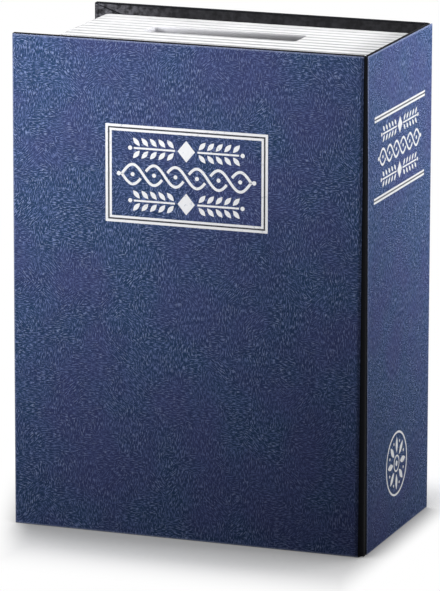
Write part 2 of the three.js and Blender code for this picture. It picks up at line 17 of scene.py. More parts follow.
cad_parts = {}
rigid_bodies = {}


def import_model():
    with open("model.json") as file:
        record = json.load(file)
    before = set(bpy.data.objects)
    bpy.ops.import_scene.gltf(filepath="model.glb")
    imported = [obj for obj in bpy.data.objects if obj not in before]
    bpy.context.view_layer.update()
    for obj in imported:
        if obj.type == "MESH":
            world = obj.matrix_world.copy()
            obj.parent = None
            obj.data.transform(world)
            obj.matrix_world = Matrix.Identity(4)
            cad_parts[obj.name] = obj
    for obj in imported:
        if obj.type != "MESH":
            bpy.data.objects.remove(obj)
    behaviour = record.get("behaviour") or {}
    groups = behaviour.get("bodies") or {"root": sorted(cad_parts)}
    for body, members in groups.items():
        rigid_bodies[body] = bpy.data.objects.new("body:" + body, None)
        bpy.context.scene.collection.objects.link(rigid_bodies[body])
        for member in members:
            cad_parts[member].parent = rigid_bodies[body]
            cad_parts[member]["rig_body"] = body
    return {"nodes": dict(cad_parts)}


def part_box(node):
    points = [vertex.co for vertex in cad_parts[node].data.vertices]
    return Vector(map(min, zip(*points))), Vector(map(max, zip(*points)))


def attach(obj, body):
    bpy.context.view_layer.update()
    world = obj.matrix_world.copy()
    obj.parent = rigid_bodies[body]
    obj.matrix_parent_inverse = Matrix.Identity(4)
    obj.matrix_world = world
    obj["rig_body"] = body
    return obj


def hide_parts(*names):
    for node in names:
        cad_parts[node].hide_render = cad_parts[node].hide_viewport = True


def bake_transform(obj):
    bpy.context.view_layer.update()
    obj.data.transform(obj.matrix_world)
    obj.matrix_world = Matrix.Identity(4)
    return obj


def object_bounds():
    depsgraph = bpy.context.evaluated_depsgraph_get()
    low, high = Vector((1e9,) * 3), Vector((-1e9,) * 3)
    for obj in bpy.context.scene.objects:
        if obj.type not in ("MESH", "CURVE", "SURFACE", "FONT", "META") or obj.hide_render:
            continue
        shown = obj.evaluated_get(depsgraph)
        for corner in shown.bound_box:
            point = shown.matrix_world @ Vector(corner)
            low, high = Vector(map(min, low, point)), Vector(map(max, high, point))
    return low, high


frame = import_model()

bl_info = {
    "name": "Book diversion safe",
    "version": (1, 0, 0),
    "blender": (4, 5, 0),
    "location": "View3D > Sidebar > Book safe",
    "description": "Dresses the solids of a small book diversion safe",
    "category": "Object",
}

MM = 0.001
CAD_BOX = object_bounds()

# The photograph's frame, and where the camera's axis and focal length put the book in it
PHOTO_WIDTH_PX = 440
PHOTO_HEIGHT_PX = 591
FOCAL_LENGTH_PX = 5074.3
AXIS_X_PX = 225.79
AXIS_Y_PX = 284.55
SENSOR_MM = 36

# A flat side of the closed book: a point on it, and which way across, up and outward go
Side = namedtuple("Side", "origin across up out")
ACROSS = Vector((1, 0, 0))
DEEP = Vector((0, 1, 0))
UP = Vector((0, 0, 1))
FRONT = Side(Vector((0, CAD_BOX[0].y, 0)), ACROSS, UP, -DEEP)
SPINE = Side(Vector((CAD_BOX[1].x, 0, 0)), DEEP, UP, ACROSS)
BACK = Side(Vector((0, CAD_BOX[1].y, 0)), -ACROSS, UP, DEEP)

# A side's foil ornaments: their sizes, across and up, and their lines against the ornament line
Ornaments = namedtuple("Ornaments", "sprig twist sprig_line twist_line")
FRONT_ORNAMENTS = Ornaments((27 * MM, 5 * MM), (31 * MM, 5.2 * MM), 1, 1.15)
SPINE_ORNAMENTS = Ornaments((26 * MM, 3.9 * MM), (29 * MM, 4.2 * MM), 0.9, 1)


def screen(red, green, blue):
    """A colour as a screen shows it, from 0 to 255, turned into the linear light of a shader."""
    shares = [value / 255 for value in (red, green, blue)]
    return tuple(s / 12.92 if s <= 0.04045 else ((s + 0.055) / 1.055) ** 2.4 for s in shares)


def length(name, description, millimetres):
    """A size that a user can change, written in millimetres."""
    return FloatProperty(name=name, description=description, default=millimetres * MM, unit="LENGTH")


def degrees(name, description, value):
    """An angle that a user can change, written in degrees."""
    return FloatProperty(name=name, description=description, default=math.radians(value), unit="ROTATION")


def ratio(name, description, value):
    """A plain number that a user can change."""
    return FloatProperty(name=name, description=description, default=value, min=0)


def colour(name, description, red, green, blue):
    """A colour that a user can change, written as a screen shows it."""
    return FloatVectorProperty(
        name=name,
        description=description,
        default=screen(red, green, blue),
        subtype="COLOR",
        size=3,
        min=0,
        max=1,
    )


# Sizes and colours


class CoverLooks(bpy.types.PropertyGroup):
    """The boards, the black covering folded over them, and its cloth joints."""

    edge_radius: length("Edge radius", "How round the covering folds over a board's edge", 0.3)
    fold_thickness: length("Turn-in thickness", "How far the turned-in covering stands proud", 0.14)
    fold_gap: length("Crease gap", "Space along the creases at the corners of the turn-ins", 0.42)
    fold_slope: ratio("Crease slope", "How steeply the corner creases run in", 0.36)
    joint_radius: length("Joint radius", "How round the cloth bends at the corner of the spine", 1.0)
    joint_lap: length("Joint lap", "How far the joint's cloth runs on under the blue sheets", 1.9)
    joint_thickness: length("Joint thickness", "Thickness of the joint's cloth", 0.3)
    joint_plug: length("Joint turn-in", "Extra cloth turned in at the head and foot of the joint", 0.55)
    joint_lift: length("Joint lift", "How far the cloth's corner is drawn up at the foot", 0.25)
    spine_skive: length("Spine skive", "How far the spine's ends are thinned on the inside", 0.9)
    scuff_reach: length("Scuff reach", "How far from the fore-edge the covering is scuffed", 26)
    black: colour("Turned-in covering", "Black covering on the inside of the boards", 24, 24, 26)
    # A darker copy of the covering's black, partly painted shade on the edges and in the joints.
    shaded_edge_black: colour("Covering", "Black covering over the edges and the joints", 8, 9, 13)
    # A painted highlight along the covering's rounded folds.
    wear_and_highlight: colour("Worn edge", "Covering rubbed along its edges", 150, 153, 160)
    board: colour("Board", "Raw greyboard", 140, 136, 128)


class PanelLooks(bpy.types.PropertyGroup):
    """The blue leatherette sheets."""

    edge_radius: length("Edge radius", "Roundness of a sheet's cut edge", 0.08)
    channel_depth: length("Channel depth", "How deep the rules are pressed in", 0.06)
    stroke_width: length("Stroke width", "Width of an embossed stroke", 0.21)
    stroke_length: length("Stroke length", "Length of an embossed stroke", 0.95)
    waver: length("Waver", "How far the strokes wander to their sides", 1.1)
    waver_size: length("Waver size", "Length over which the strokes wander", 4)
    pebble_size: length("Pebble size", "Size of the fine pebbling between strokes", 0.2)
    patch_size: length("Patch size", "Size of a patch whose strokes run one way", 5)
    grain_depth: length("Grain depth", "Depth of the embossed grain", 0.115)
    blotch_size: length("Blotch size", "Size of the teal and plum blotches", 16)
    # The rim width and the rim colour below give a painted highlight along a sheet's cut edges.
    rim_highlight_width: length("Rim width", "Width of a sheet's rubbed rim", 0.42)
    # Width of the painted shade along a sheet's edge at a joint.
    joint_shade_width: length("Dip width", "Width of the dark strip that dips into a joint", 1.1)
    blue: colour("Blue", "Leatherette between the strokes", 51, 66, 107)
    # Painted highlights: this colour lightens the tops of the strokes, and the next one the grain's
    # highest places, as light catching the emboss would.
    painted_ridge_highlight: colour("Ridge", "Rubbed tops of the strokes", 111, 130, 184)
    painted_glint: colour("Glint", "Highest places of the grain", 176, 190, 220)
    plum: colour("Plum", "Blotches where the blue turns to plum", 84, 84, 138)
    teal: colour("Teal", "Blotches where the blue turns to teal", 45, 70, 105)
    # A painted highlight along a sheet's cut edges.
    rim: colour("Rim", "Rubbed rim of a sheet", 160, 170, 204)
    # This colour is partly burnishing and partly painted shade: it darkens the pressed channels and a
    # sheet's edge at a joint.
    burnish_and_shade: colour("Burnish", "Leatherette burnished by the hot tool", 26, 29, 40)


class FoilLooks(bpy.types.PropertyGroup):
    """The silver tooling."""

    height: length("Foil height", "How far the foil stands proud", 0.03)
    bevel: length("Foil bevel", "Slope at the edge of a foil line", 0.02)
    silver: colour("Silver", "Silver foil", 236, 237, 240)
    wear_and_highlight: colour("Worn silver", "Foil rubbed thin over the grain", 176, 182, 196)
    frame_width: length("Frame width", "Title frame, across", 39)
    frame_height: length("Frame height", "Title frame, up", 22.6)
    frame_middle: length("Frame middle", "Height of the title frame's middle", 84.5)
    frame_shift: length("Frame shift", "Title frame's middle from the cover's middle", -0.25)
    outer_rule: length("Outer rule", "Width of the frame's outer line", 0.62)
    inner_rule: length("Inner rule", "Width of the frame's inner line", 0.56)
    # The dark lines between the rules, here and on the spine, are partly burnishing and partly painted
    # shade in the pressed channels.
    rule_gap: length("Rule gap", "Burnished line between two rules", 0.36)
    spine_rule: length("Spine rule", "Width of each line across the spine", 0.5)
    spine_rule_gap: length("Spine rule gap", "Burnished line between the spine's rules", 0.34)
    spine_rule_length: length("Spine rule length", "Length of the lines across the spine", 36.2)
    spine_upper: length("Upper rules", "Height of the spine's upper rules", 99.6)
    spine_lower: length("Lower rules", "Height of the spine's lower rules", 81.1)
    rosette_radius: length("Rosette radius", "Radius of the rosette at the spine's foot", 7.6)
    rosette_middle: length("Rosette middle", "Height of the rosette's middle", 16.4)
    line: length("Ornament line", "Width of the ornament's lines", 0.58)


class PageLooks(bpy.types.PropertyGroup):
    """The moulded page block."""

    ribs: IntProperty(name="Ribs", description="Ribs across the thickness", default=13, min=2)
    groove_reach: length("Groove reach", "Half the width of the groove between two ribs", 0.5)
    groove_depth: length("Groove depth", "Depth of the groove between two ribs", 0.35)
    wall: length("Wall", "Thickness of the moulding", 2.5)
    corner_radius: length("Corner radius", "Outside corners at the fore-edge", 3)
    inner_radius: length("Inner radius", "Inside corners at the fore-edge", 0.6)
    slot_length: length("Slot length", "Money slot, along the book's width", 37.5)
    slot_width: length("Slot width", "Money slot, along the book's thickness", 8)
    slot_radius: length("Slot radius", "Corners of the money slot", 1)
    slot_x: length("Slot place", "Middle of the slot from the middle of the book", -2)
    slot_y: length("Slot depth", "Middle of the slot behind the middle of the book", 6.3)
    slot_lip: length("Slot lip", "Round lip of the money slot", 0.25)
    # How far the painted shade in a groove reaches from its middle.
    groove_shade_reach: length("Dust reach", "How far dust spreads from the middle of a groove", 0.9)
    scatter: length("Scatter", "How far light spreads inside the moulding", 2)
    # Painted light: an emission at the slot's fore-edge end, not light let through the moulding.
    painted_glow: colour("Glow", "Light that comes through at the slot's fore-edge end", 112, 112, 116)
    white: colour("Pages", "White moulded plastic", 243, 243, 244)
    # The groove colour is painted shade in the grooves, and also the colour of the faint leaf lines.
    groove: colour("Groove", "Dusty bottom of the grooves", 118, 118, 125)
    # Painted shade: the slot wall's grey and its darker copy towards the spine's end.
    slot_wall: colour("Slot wall", "Raw moulding inside the slot", 200, 200, 204)


class MetalLooks(bpy.types.PropertyGroup):
    """The steel box, its hinge, rivets and lock."""

    edge: length("Edge", "Broken edges of the sheet metal", 0.12)
    clearance: length("Clearance", "Space round a shaft in its bore", 0.3)
    head_height_share: ratio("Head height", "A rivet head's height over its radius", 0.35)
    shank_share: ratio("Shank", "A rivet's shank over its head's radius", 0.46)
    knuckles: IntProperty(name="Knuckles", description="Knuckles of the door's hinge", default=5, min=3)
    knuckle_gap: length("Knuckle gap", "Space between two knuckles", 0.3)
    leaf: length("Leaf", "Thickness of a hinge leaf", 0.8)
    pin_radius: length("Pin radius", "Radius of the hinge pin", 0.7)
    pin_head: length("Pin head", "Thickness of the pin's heads", 0.6)
    barrel_radius: length("Barrel radius", "Threaded body of the lock", 4.5)
    bore_radius: length("Bore radius", "Bore that the plug turns in", 3.3)
    thread: length("Thread", "Pitch of the lock body's thread", 0.75)
    head_length: length("Lock head", "Thickness of the lock's head", 2.2)
    keyway_width: length("Keyway width", "Key slot, across", 1)
    keyway_height: length("Keyway height", "Key slot, up", 4.4)
    keyway_depth: length("Keyway depth", "Depth of the key slot", 7)
    screw_radius: length("Screw radius", "Shank of the cam's screw", 1)
    powder: colour("Powder coat", "Black powder coat", 34, 35, 38)
    zinc: colour("Zinc", "Bright zinc plate", 198, 201, 206)
    chrome: colour("Chrome", "Polished chrome", 222, 224, 228)
    brass: colour("Brass", "Turned brass", 206, 168, 96)


class StageLooks(bpy.types.PropertyGroup):
    """The camera, floor and lamps."""

    azimuth: degrees("Azimuth", "Camera round to the right of the front cover", 20.095)
    elevation: degrees("Elevation", "Camera above the horizon", 12.836)
    roll: degrees("Roll", "Camera roll", 0.145)
    distance: length("Distance", "Camera from the point it turns about", 1168.5)
    target_x: length("Target across", "Point that the camera turns about, across", 0.7)
    target_z: length("Target height", "Point that the camera turns about, up", 55.05)
    spot_angle: degrees("Spot angle", "Cone of the key and spine lamps", 72)
    spot_radius: length("Spot radius", "Radius of the key and spine lamps", 50)
    ambient: ratio("Ambient", "Soft light from all round", 0.1)
    pale: colour("Floor", "Pale floor", 236, 236, 236)
    shadow_reach: length("Shadow reach", "How far the book darkens the floor round it", 40)
    shadow_share: ratio("Shadow", "How bright the floor is close to the book", 0.43)
    front_start: length("Front start", "Where the shadow starts to fade in front of the book", 13)
    front_fade: length("Front fade", "How far the shadow reaches in front of the book", 38)
    spine_start: length("Spine start", "How far under the spine the shadow starts to fade", 1.5)
    spine_fade: length("Spine fade", "How far the shadow reaches beside the spine", 7.5)
    fore_start: length("Fore-edge start", "How far the shadow reaches to the fore-edge's side", 53.125)
    fore_fade: length("Fore-edge fade", "How wide the shadow's soft end at the fore-edge is", 9.5)
    shadow_slant: degrees("Shadow slant", "How far that end is turned from the book's side", 20)


GROUPS = {
    "book_safe_covers": CoverLooks,
    "book_safe_panels": PanelLooks,
    "book_safe_foil": FoilLooks,
    "book_safe_pages": PageLooks,
    "book_safe_metal": MetalLooks,
    "book_safe_stage": StageLooks,
}


# Shader maths


class Field:
    """One value in a shader. Arithmetic on it adds the nodes that work it out."""

    def __init__(self, paint, socket):
        self.paint = paint
        self.socket = socket

    def maths(self, operation, *values):
        """A Math node on these values."""
        return self.paint.node("ShaderNodeMath", {"operation": operation}, dict(enumerate(values)))

    def __add__(self, other):
        return self.maths("ADD", self, other)

    def __radd__(self, other):
        return self.maths("ADD", other, self)

    def __sub__(self, other):
        return self.maths("SUBTRACT", self, other)

    def __rsub__(self, other):
        return self.maths("SUBTRACT", other, self)

    def __mul__(self, other):
        return self.maths("MULTIPLY", self, other)

    def __rmul__(self, other):
        return self.maths("MULTIPLY", other, self)

    def __truediv__(self, other):
        return self.maths("DIVIDE", self, other)

    def __gt__(self, other):
        return self.maths("GREATER_THAN", self, other)

    def __abs__(self):
        return self.maths("ABSOLUTE", self)

    def smaller(self, other):
        """The smaller of two values."""
        return self.maths("MINIMUM", self, other)

    def larger(self, other):
        """The larger of two values."""
        return self.maths("MAXIMUM", self, other)


class Paint:
    """A material or sky being mixed."""

    def __init__(self, owner):
        owner.use_nodes = True
        self.owner = owner
        self.tree = owner.node_tree
        self.tree.nodes.clear()

    @functools.cached_property
    def place(self):
        """The place on the piece, in millimetres."""
        return self.scaled(self.node("ShaderNodeTexCoord", output="Object"), [1 / MM] * 3)

    def node(self, kind, settings=None, sockets=None, output=0):
        """A node of any kind: its settings first, then the values or links of its sockets."""
        made = self.tree.nodes.new(kind)
        for name, value in (settings or {}).items():
            setattr(made, name, value)
        for key, value in (sockets or {}).items():
            if isinstance(value, Field):
                self.tree.links.new(value.socket, made.inputs[key])
            else:
                made.inputs[key].default_value = value
        return Field(self, made.outputs[output])

    def scaled(self, vector, scale):
        """A vector times a scale along each axis."""
        return self.node("ShaderNodeVectorMath", {"operation": "MULTIPLY"}, {0: vector, 1: scale})

    def parts(self, vector):
        """The three parts of a vector."""
        node = self.node("ShaderNodeSeparateXYZ", None, {0: vector}).socket.node
        return [Field(self, socket) for socket in node.outputs]

    def vector(self, x, y, z):
        """A vector from three values."""
        return self.node("ShaderNodeCombineXYZ", None, {0: x, 1: y, 2: z})

    def noise(self, vector, size, detail, rough=0.5):
        """Soft noise from 0 to 1, whose lumps are about this many millimetres."""
        sockets = {"Vector": vector, "Scale": 1 / size, "Detail": detail, "Roughness": rough}
        return self.node("ShaderNodeTexNoise", None, sockets)

    def cells(self, vector, size, output="Distance"):
        """Scattered cells, about this many millimetres wide."""
        return self.node("ShaderNodeTexVoronoi", None, {"Vector": vector, "Scale": 1 / size}, output)

    def ease(self, value, low, high, to_low=0, to_high=1):
        """Turns smoothly from one value to another as value goes from low to high."""
        sockets = {0: value, 1: low, 2: high, 3: to_low, 4: to_high}
        return self.node("ShaderNodeMapRange", {"interpolation_type": "SMOOTHSTEP"}, sockets)

    def mix(self, share, first, second):
        """A colour that goes from the first to the second."""
        tints = [tint if isinstance(tint, Field) else (*tint, 1) for tint in (first, second)]
        return self.node("ShaderNodeMix", {"data_type": "RGBA"}, {0: share, 6: tints[0], 7: tints[1]}, 2)

    def folds(self):
        """1 on rounded edges and 0 on flat faces, which all face along an axis."""
        x, y, z = (abs(part) for part in self.parts(self.node("ShaderNodeTexCoord", output="Normal")))
        return self.ease(x.larger(y).larger(z), 0.78, 0.97, 1, 0)

    def surface(self, tint, rough, height, depth, **sockets):
        """Ends the material in a Principled surface whose height, from 0 to 1, is this deep in metres.

        Its other sockets are named with _ for a space.
        """
        named = {key.replace("_", " "): value for key, value in sockets.items()}
        bump = self.node("ShaderNodeBump", None, {"Height": height, "Distance": depth, "Strength": 1})
        named |= {"Base Color": tint, "Roughness": rough, "Normal": bump}
        return self.end(self.node("ShaderNodeBsdfPrincipled", None, named))

    def end(self, shader, kind="Material"):
        """Joins a shader to the output of a material or world."""
        output = self.tree.nodes.new("ShaderNodeOutput" + kind)
        self.tree.links.new(shader.socket, output.inputs[0])
        return self.owner


# Finishes


def toned(tint, share):
    """A colour made darker by a share below 1, or paler by one above it."""
    return [part * share for part in tint]


def embossing(paint, looks, across, up):
    """The embossed grain's height and its fine pebbling, both from 0 to 1.

    Strokes stand upright, and patches of them run level, rising or falling instead.
    """
    waver, waver_size = looks.waver / MM, looks.waver_size / MM
    sway = paint.noise(paint.place, waver_size, 1) * waver
    turn = paint.noise(paint.scaled(paint.place, (1, 1, -1)), waver_size, 1) * waver
    patch = looks.patch_size / MM
    drift = paint.noise(paint.place, patch / 3, 2) * patch * 0.9
    cell = paint.cells(paint.vector(across + drift, up - drift, 0), patch, "Color")
    pick = paint.parts(cell)[0]
    diagonal = math.sqrt(0.5)
    rising, falling = (across + up) * diagonal, (across - up) * diagonal
    run, width = looks.stroke_length / MM, looks.stroke_width / MM

    def strokes(along, over, level):
        placed = paint.vector(along / run, over / width, level)
        return paint.ease(paint.noise(placed, 1, 1), 0.42, 0.64)

    grain = strokes(up + turn, across + sway, 0)
    # The pick above which the strokes of a patch run another way
    ways = [
        (0.44, strokes(across + sway, up + turn, 7)),
        (0.8, strokes(rising + turn, falling + sway, 14)),
        (0.9, strokes(falling + turn, rising + sway, 21)),
    ]
    for chance, other in ways:
        grain = grain + (other - grain) * (pick > chance)
    faint = paint.ease(paint.noise(paint.place, patch * 0.7, 1), 0.34, 0.62, 0.7, 1)
    pebble = paint.ease(paint.noise(paint.place, looks.pebble_size / MM, 1), 0.35, 0.65)
    return (grain - 0.47) * faint * 0.8 + pebble * 0.24 + 0.33, pebble


def leatherette(paint, looks, node, side, joint=0):
    """Blue embossed vinyl with blotches of teal and plum, with painted highlights on the tops of its
    strokes and along its rim.

    A sheet with a joint at its right, 1, or left, -1, gets a painted shade along that edge, where it dips
    into the joint.
    """
    x, y, z = paint.parts(paint.place)
    across = x * side.across.x + y * side.across.y
    height, pebble = embossing(paint, looks, across, z)
    blotch = paint.ease(paint.noise(paint.place, looks.blotch_size / MM, 2), 0.35, 0.68)
    ground = paint.mix(blotch, looks.teal, looks.blue)
    # Painted highlights on the tops of the strokes and on the grain's highest places.
    tint = paint.mix(paint.ease(height, 0.1, 0.9), ground, looks.painted_ridge_highlight)
    tint = paint.mix(paint.ease(height, 0.72, 1, 0, 0.6), tint, looks.painted_glint)
    tint = paint.mix(blotch * 0.35, tint, looks.plum)
    corners = [Vector(corner) / MM for corner in sheet_corners(node, side)]
    foot_left, foot_right, head_right, head_left = corners
    rise = (z - foot_left.y) / (head_left.y - foot_left.y)
    from_left = across - (rise * (head_left.x - foot_left.x) + foot_left.x)
    from_right = (rise * (head_right.x - foot_right.x) + foot_right.x) - across
    to_rim = (z - foot_left.y).smaller(head_left.y - z)
    for way, from_edge in ((1, from_right), (-1, from_left)):
        if joint == way:
            # Painted shade along the sheet's edge at the joint, in the burnishing colour.
            painted_joint_shade = paint.ease(from_edge, 0.2, looks.joint_shade_width / MM, 0.6, 0)
            tint = paint.mix(painted_joint_shade, tint, looks.burnish_and_shade)
        else:
            to_rim = to_rim.smaller(from_edge)
    # A painted highlight along the sheet's rim, where its cut edge would catch the light, broken up by
    # the pebbling.
    rubbed = paint.ease(to_rim, 0.12, looks.rim_highlight_width / MM, 0.75, 0)
    tint = paint.mix(rubbed * paint.ease(pebble, 0.3, 0.6, 0.5, 1), tint, looks.rim)
    rough = paint.ease(height, 0.1, 1.0, 0.66, 0.5)
    return paint.surface(tint, rough, height, looks.grain_depth, Specular_IOR_Level=0.02)


def burnished(paint, looks):
    """Leatherette pressed flat by a hot tool, its dark colour partly burnishing and partly painted shade
    in the pressed channels.
    """
    streak = paint.noise(paint.scaled(paint.place, (1, 1, 0.4)), 0.8, 3)
    tint = paint.mix(streak, looks.burnish_and_shade, toned(looks.burnish_and_shade, 1.5))
    rough = paint.ease(streak, 0.3, 0.7, 0.3, 0.5)
    return paint.surface(tint, rough, streak, 0.02 * MM)


def foil(paint, looks):
    """Silver foil that takes the grain below it and is rubbed thin on its high places."""
    grain = paint.noise(paint.place, 0.5, 3, 0.6)
    rub = paint.ease(paint.noise(paint.place, 1.3, 4, 0.7), 0.58, 0.72)
    tint = paint.mix(rub, looks.silver, looks.wear_and_highlight)
    rough = paint.ease(grain, 0.3, 0.7, 0.32, 0.5)
    return paint.surface(tint, rough, grain, 0.03 * MM, Metallic=0.25)


def black_covering(paint, looks, dark, scuff_and_highlight):
    """Matt black covering with a fine weave, scuffed near the fore-edge, with a painted highlight along
    its rounded folds.

    The front cover's own edges get no painted highlight.
    """
    x, y, z = paint.parts(paint.place)
    weave = paint.noise(paint.vector((x + y) * 4, z * 1.2, 0), 1, 2)
    weft = paint.noise(paint.vector((x + y) * 1.2, z * 4, y), 1, 2)
    grain = (weave + weft) * 0.5
    fore_edge, front = CAD_BOX[0].x / MM, CAD_BOX[0].y / MM
    handled = paint.ease(x, fore_edge, fore_edge + looks.scuff_reach / MM, 1, 0.12)
    scuff = paint.ease(paint.noise(paint.place, 1.3, 4, 0.7), 0.34, 0.68) * handled * scuff_and_highlight * 2.8
    tint = paint.mix(grain, toned(dark, 0.5), toned(dark, 1.5))
    tint = paint.mix(scuff, tint, toned(dark, 14))
    # A painted highlight along the rounded folds, left off the front cover's edges.
    rubbed = paint.folds() * paint.ease(grain, 0.35, 0.6, 0.2, 1) * paint.ease(y, front + 2, front + 6)
    tint = paint.mix(rubbed * scuff_and_highlight, tint, looks.wear_and_highlight)
    rough = paint.ease(grain, 0.35, 0.65, 0.8, 0.62)
    return paint.surface(tint, rough, grain, 0.05 * MM, Specular_IOR_Level=0.06)


def greyboard(paint, looks):
    """Raw pulp board with darker fibres and specks."""
    fibre = paint.noise(paint.scaled(paint.place, (1, 4, 0.6)), 1.4, 4, 0.7)
    speck = paint.ease(paint.cells(paint.place, 1.1), 0.05, 0.16, 0.7, 0)
    tint = paint.mix(fibre, toned(looks.board, 0.75), toned(looks.board, 1.2))
    tint = paint.mix(speck, tint, toned(looks.board, 0.4))
    return paint.surface(tint, 0.9, fibre, 0.08 * MM)


def moulded_pages(paint, looks):
    """White moulded plastic with painted shade in the grooves, darker towards the front, and faint lines
    like the edges of leaves.
    """
    x, y, z = paint.parts(paint.place)
    front, back = (corner.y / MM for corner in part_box("page_block"))
    pitch = (back - front) / looks.ribs
    turn = (y - front) / pitch
    nearest = turn.maths("ROUND", turn).larger(1).smaller(looks.ribs - 1)
    from_groove = abs(turn - nearest) * pitch
    # Painted shade in the grooves, broken up a little and darker towards the front cover.
    groove_shade = paint.ease(from_groove, 0.12, looks.groove_shade_reach / MM, 1, 0)
    groove_shade = groove_shade * paint.ease(paint.noise(paint.place, 6, 2), 0.3, 0.6, 0.75, 1)
    groove_shade = groove_shade * paint.ease(y, front, back, 1, 0.6)
    leaves = paint.noise(paint.vector(x * 0.05, y * 3, z * 0.05), 1, 3, 0.6)
    cloudy = paint.noise(paint.place, 9, 3)
    tint = paint.mix(cloudy, toned(looks.white, 0.95), looks.white)
    tint = paint.mix(paint.ease(leaves, 0.45, 0.75, 0, 0.1), tint, looks.groove)
    tint = paint.mix(groove_shade, tint, looks.groove)
    rough = paint.ease(cloudy, 0.3, 0.7, 0.42, 0.55)
    return paint.surface(tint, rough, leaves, 0.02 * MM, Specular_IOR_Level=0.3)


def slot_moulding(paint, looks):
    """The moulding inside the money slot, with painted shade that darkens it towards the spine's end and
    painted light at the fore-edge's end.
    """
    x = paint.parts(paint.place)[0]
    half = looks.slot_length / 2 / MM
    middle = looks.slot_x / MM
    # Painted shade: the wall goes from its grey at the fore-edge's end to a darker copy at the spine's
    # end.
    shade = paint.ease(x, middle - half, middle + half)
    scrape = paint.noise(paint.scaled(paint.place, (0.3, 1, 3)), 1.5, 4, 0.6)
    deep = toned(looks.slot_wall, 0.5)
    tint = paint.mix(scrape * 0.2, paint.mix(shade, looks.slot_wall, deep), deep)
    # Painted light: an emission at the fore-edge's end of the slot, fading towards its middle.
    through = paint.mix(paint.ease(x, middle - half, middle - half * 0.5), looks.painted_glow, (0, 0, 0))
    painted_glow = {"Emission_Color": through, "Emission_Strength": 1.0}
    depth = {"Subsurface_Weight": 1.0, "Subsurface_Radius": (1, 1, 1), "Subsurface_Scale": looks.scatter}
    return paint.surface(tint, 0.5, scrape, 0.02 * MM, **painted_glow, **depth)


def powder_coat(paint, looks):
    """Black powder coat with its fine orange peel and a few rubbed specks."""
    peel = paint.noise(paint.place, 0.45, 2, 0.55)
    fine = paint.noise(paint.place, 0.16, 1)
    height = peel * 0.7 + fine * 0.3
    speck = paint.ease(paint.noise(paint.place, 0.9, 4, 0.7), 0.66, 0.76, 0, 0.5)
    tint = paint.mix(peel, toned(looks.powder, 0.8), toned(looks.powder, 1.25))
    tint = paint.mix(speck, tint, toned(looks.powder, 2.2))
    rough = paint.ease(height, 0.3, 0.7, 0.42, 0.58)
    return paint.surface(tint, rough, height, 0.05 * MM)


def plated(paint, metal, bloom_shares, smooth, rough, stretch=(1, 1, 1)):
    """Plated or turned metal with fine marks, drawn out one way, and a faint bloom."""
    marks = paint.noise(paint.scaled(paint.place, stretch), 0.35, 3, 0.6)
    bloom = paint.noise(paint.place, 4, 3)
    tint = paint.mix(bloom, metal, [part * share for part, share in zip(metal, bloom_shares)])
    tint = paint.mix(paint.ease(marks, 0.55, 0.75, 0, 0.3), tint, toned(metal, 0.7))
    roughness = paint.ease(marks, 0.3, 0.7, smooth, rough)
    return paint.surface(tint, roughness, marks, 0.01 * MM, Metallic=1.0)


def finish(name):
    """The named finish, made the first time it is asked for."""
    scene = bpy.context.scene
    panels, covers, foils = scene.book_safe_panels, scene.book_safe_covers, scene.book_safe_foil
    pages, metal = scene.book_safe_pages, scene.book_safe_metal
    makers = {
        "front_leatherette": (leatherette, panels, "front_panel", FRONT, 1),
        "spine_leatherette": (leatherette, panels, "spine_panel", SPINE),
        "back_leatherette": (leatherette, panels, "back_panel", BACK, -1),
        "burnished_shaded_channel": (burnished, panels),
        "silver_foil": (foil, foils),
        # The edges and joints take a darker copy of the black, partly painted shade, and both blacks get
        # a painted highlight along their folds.
        "black_covering": (black_covering, covers, covers.black, 0.35),
        "shaded_edge_covering": (black_covering, covers, covers.shaded_edge_black, 0.03),
        "grey_board": (greyboard, covers),
        "moulded_pages": (moulded_pages, pages),
        "slot_moulding": (slot_moulding, pages),
        "powder_coat": (powder_coat, metal),
        "zinc_plate": (plated, metal.zinc, (1, 1, 0.9), 0.26, 0.42, (1, 1, 0.2)),
        "lock_chrome": (plated, metal.chrome, (0.98, 1, 1.02), 0.08, 0.18),
        "lock_brass": (plated, metal.brass, (0.96, 0.9, 0.8), 0.22, 0.36),
    }
    title = name + "_finish"
    maker, *values = makers[name]
    made = bpy.data.materials.get(title)
    return made or maker(Paint(bpy.data.materials.new(title)), *values)


# Meshes


def add_piece(name, made, finish_name, sharp=32):
    """Makes a scene object of a bmesh, shaded smooth between its sharp edges."""
    bmesh.ops.recalc_face_normals(made, faces=made.faces)
    mesh = bpy.data.meshes.new(name)
    made.to_mesh(mesh)
    made.free()
    mesh.shade_smooth()
    mesh.set_sharp_from_angle(angle=math.radians(sharp))
    mesh.materials.append(finish(finish_name))
    piece = bpy.data.objects.new(name, mesh)
    bpy.context.scene.collection.objects.link(piece)
    return flat_faced(piece)


def flat_faced(piece):
    """Keeps a piece's large faces flat where they are shaded smoothly into rounded edges."""
    change = piece.modifiers.new("flat faces", "WEIGHTED_NORMAL")
    change.keep_sharp = True
    return piece


def carve(piece, *tools):
    """Cuts the tools out of a piece. The walls that a tool leaves take the tool's finish."""
    for tool in tools:
        change = piece.modifiers.new("carve", "BOOLEAN")
        change.operation = "DIFFERENCE"
        change.solver = "EXACT"
        change.material_mode = "TRANSFER"
        change.object = tool
    shown = piece.evaluated_get(bpy.context.evaluated_depsgraph_get())
    mesh = bpy.data.meshes.new_from_object(shown)
    piece.modifiers.clear()
    plain = piece.data
    piece.data = mesh
    bpy.data.meshes.remove(plain)
    mesh.name = piece.name
    for tool in tools:
        bpy.data.meshes.remove(tool.data)
    return flat_faced(piece)


def block(low, high):
    """A plain block between two corners, to be rounded or to cut with."""
    made = bmesh.new()
    bmesh.ops.create_cube(made, size=1)
    bmesh.ops.scale(made, vec=high - low, verts=made.verts)
    bmesh.ops.translate(made, vec=(low + high) / 2, verts=made.verts)
    return made


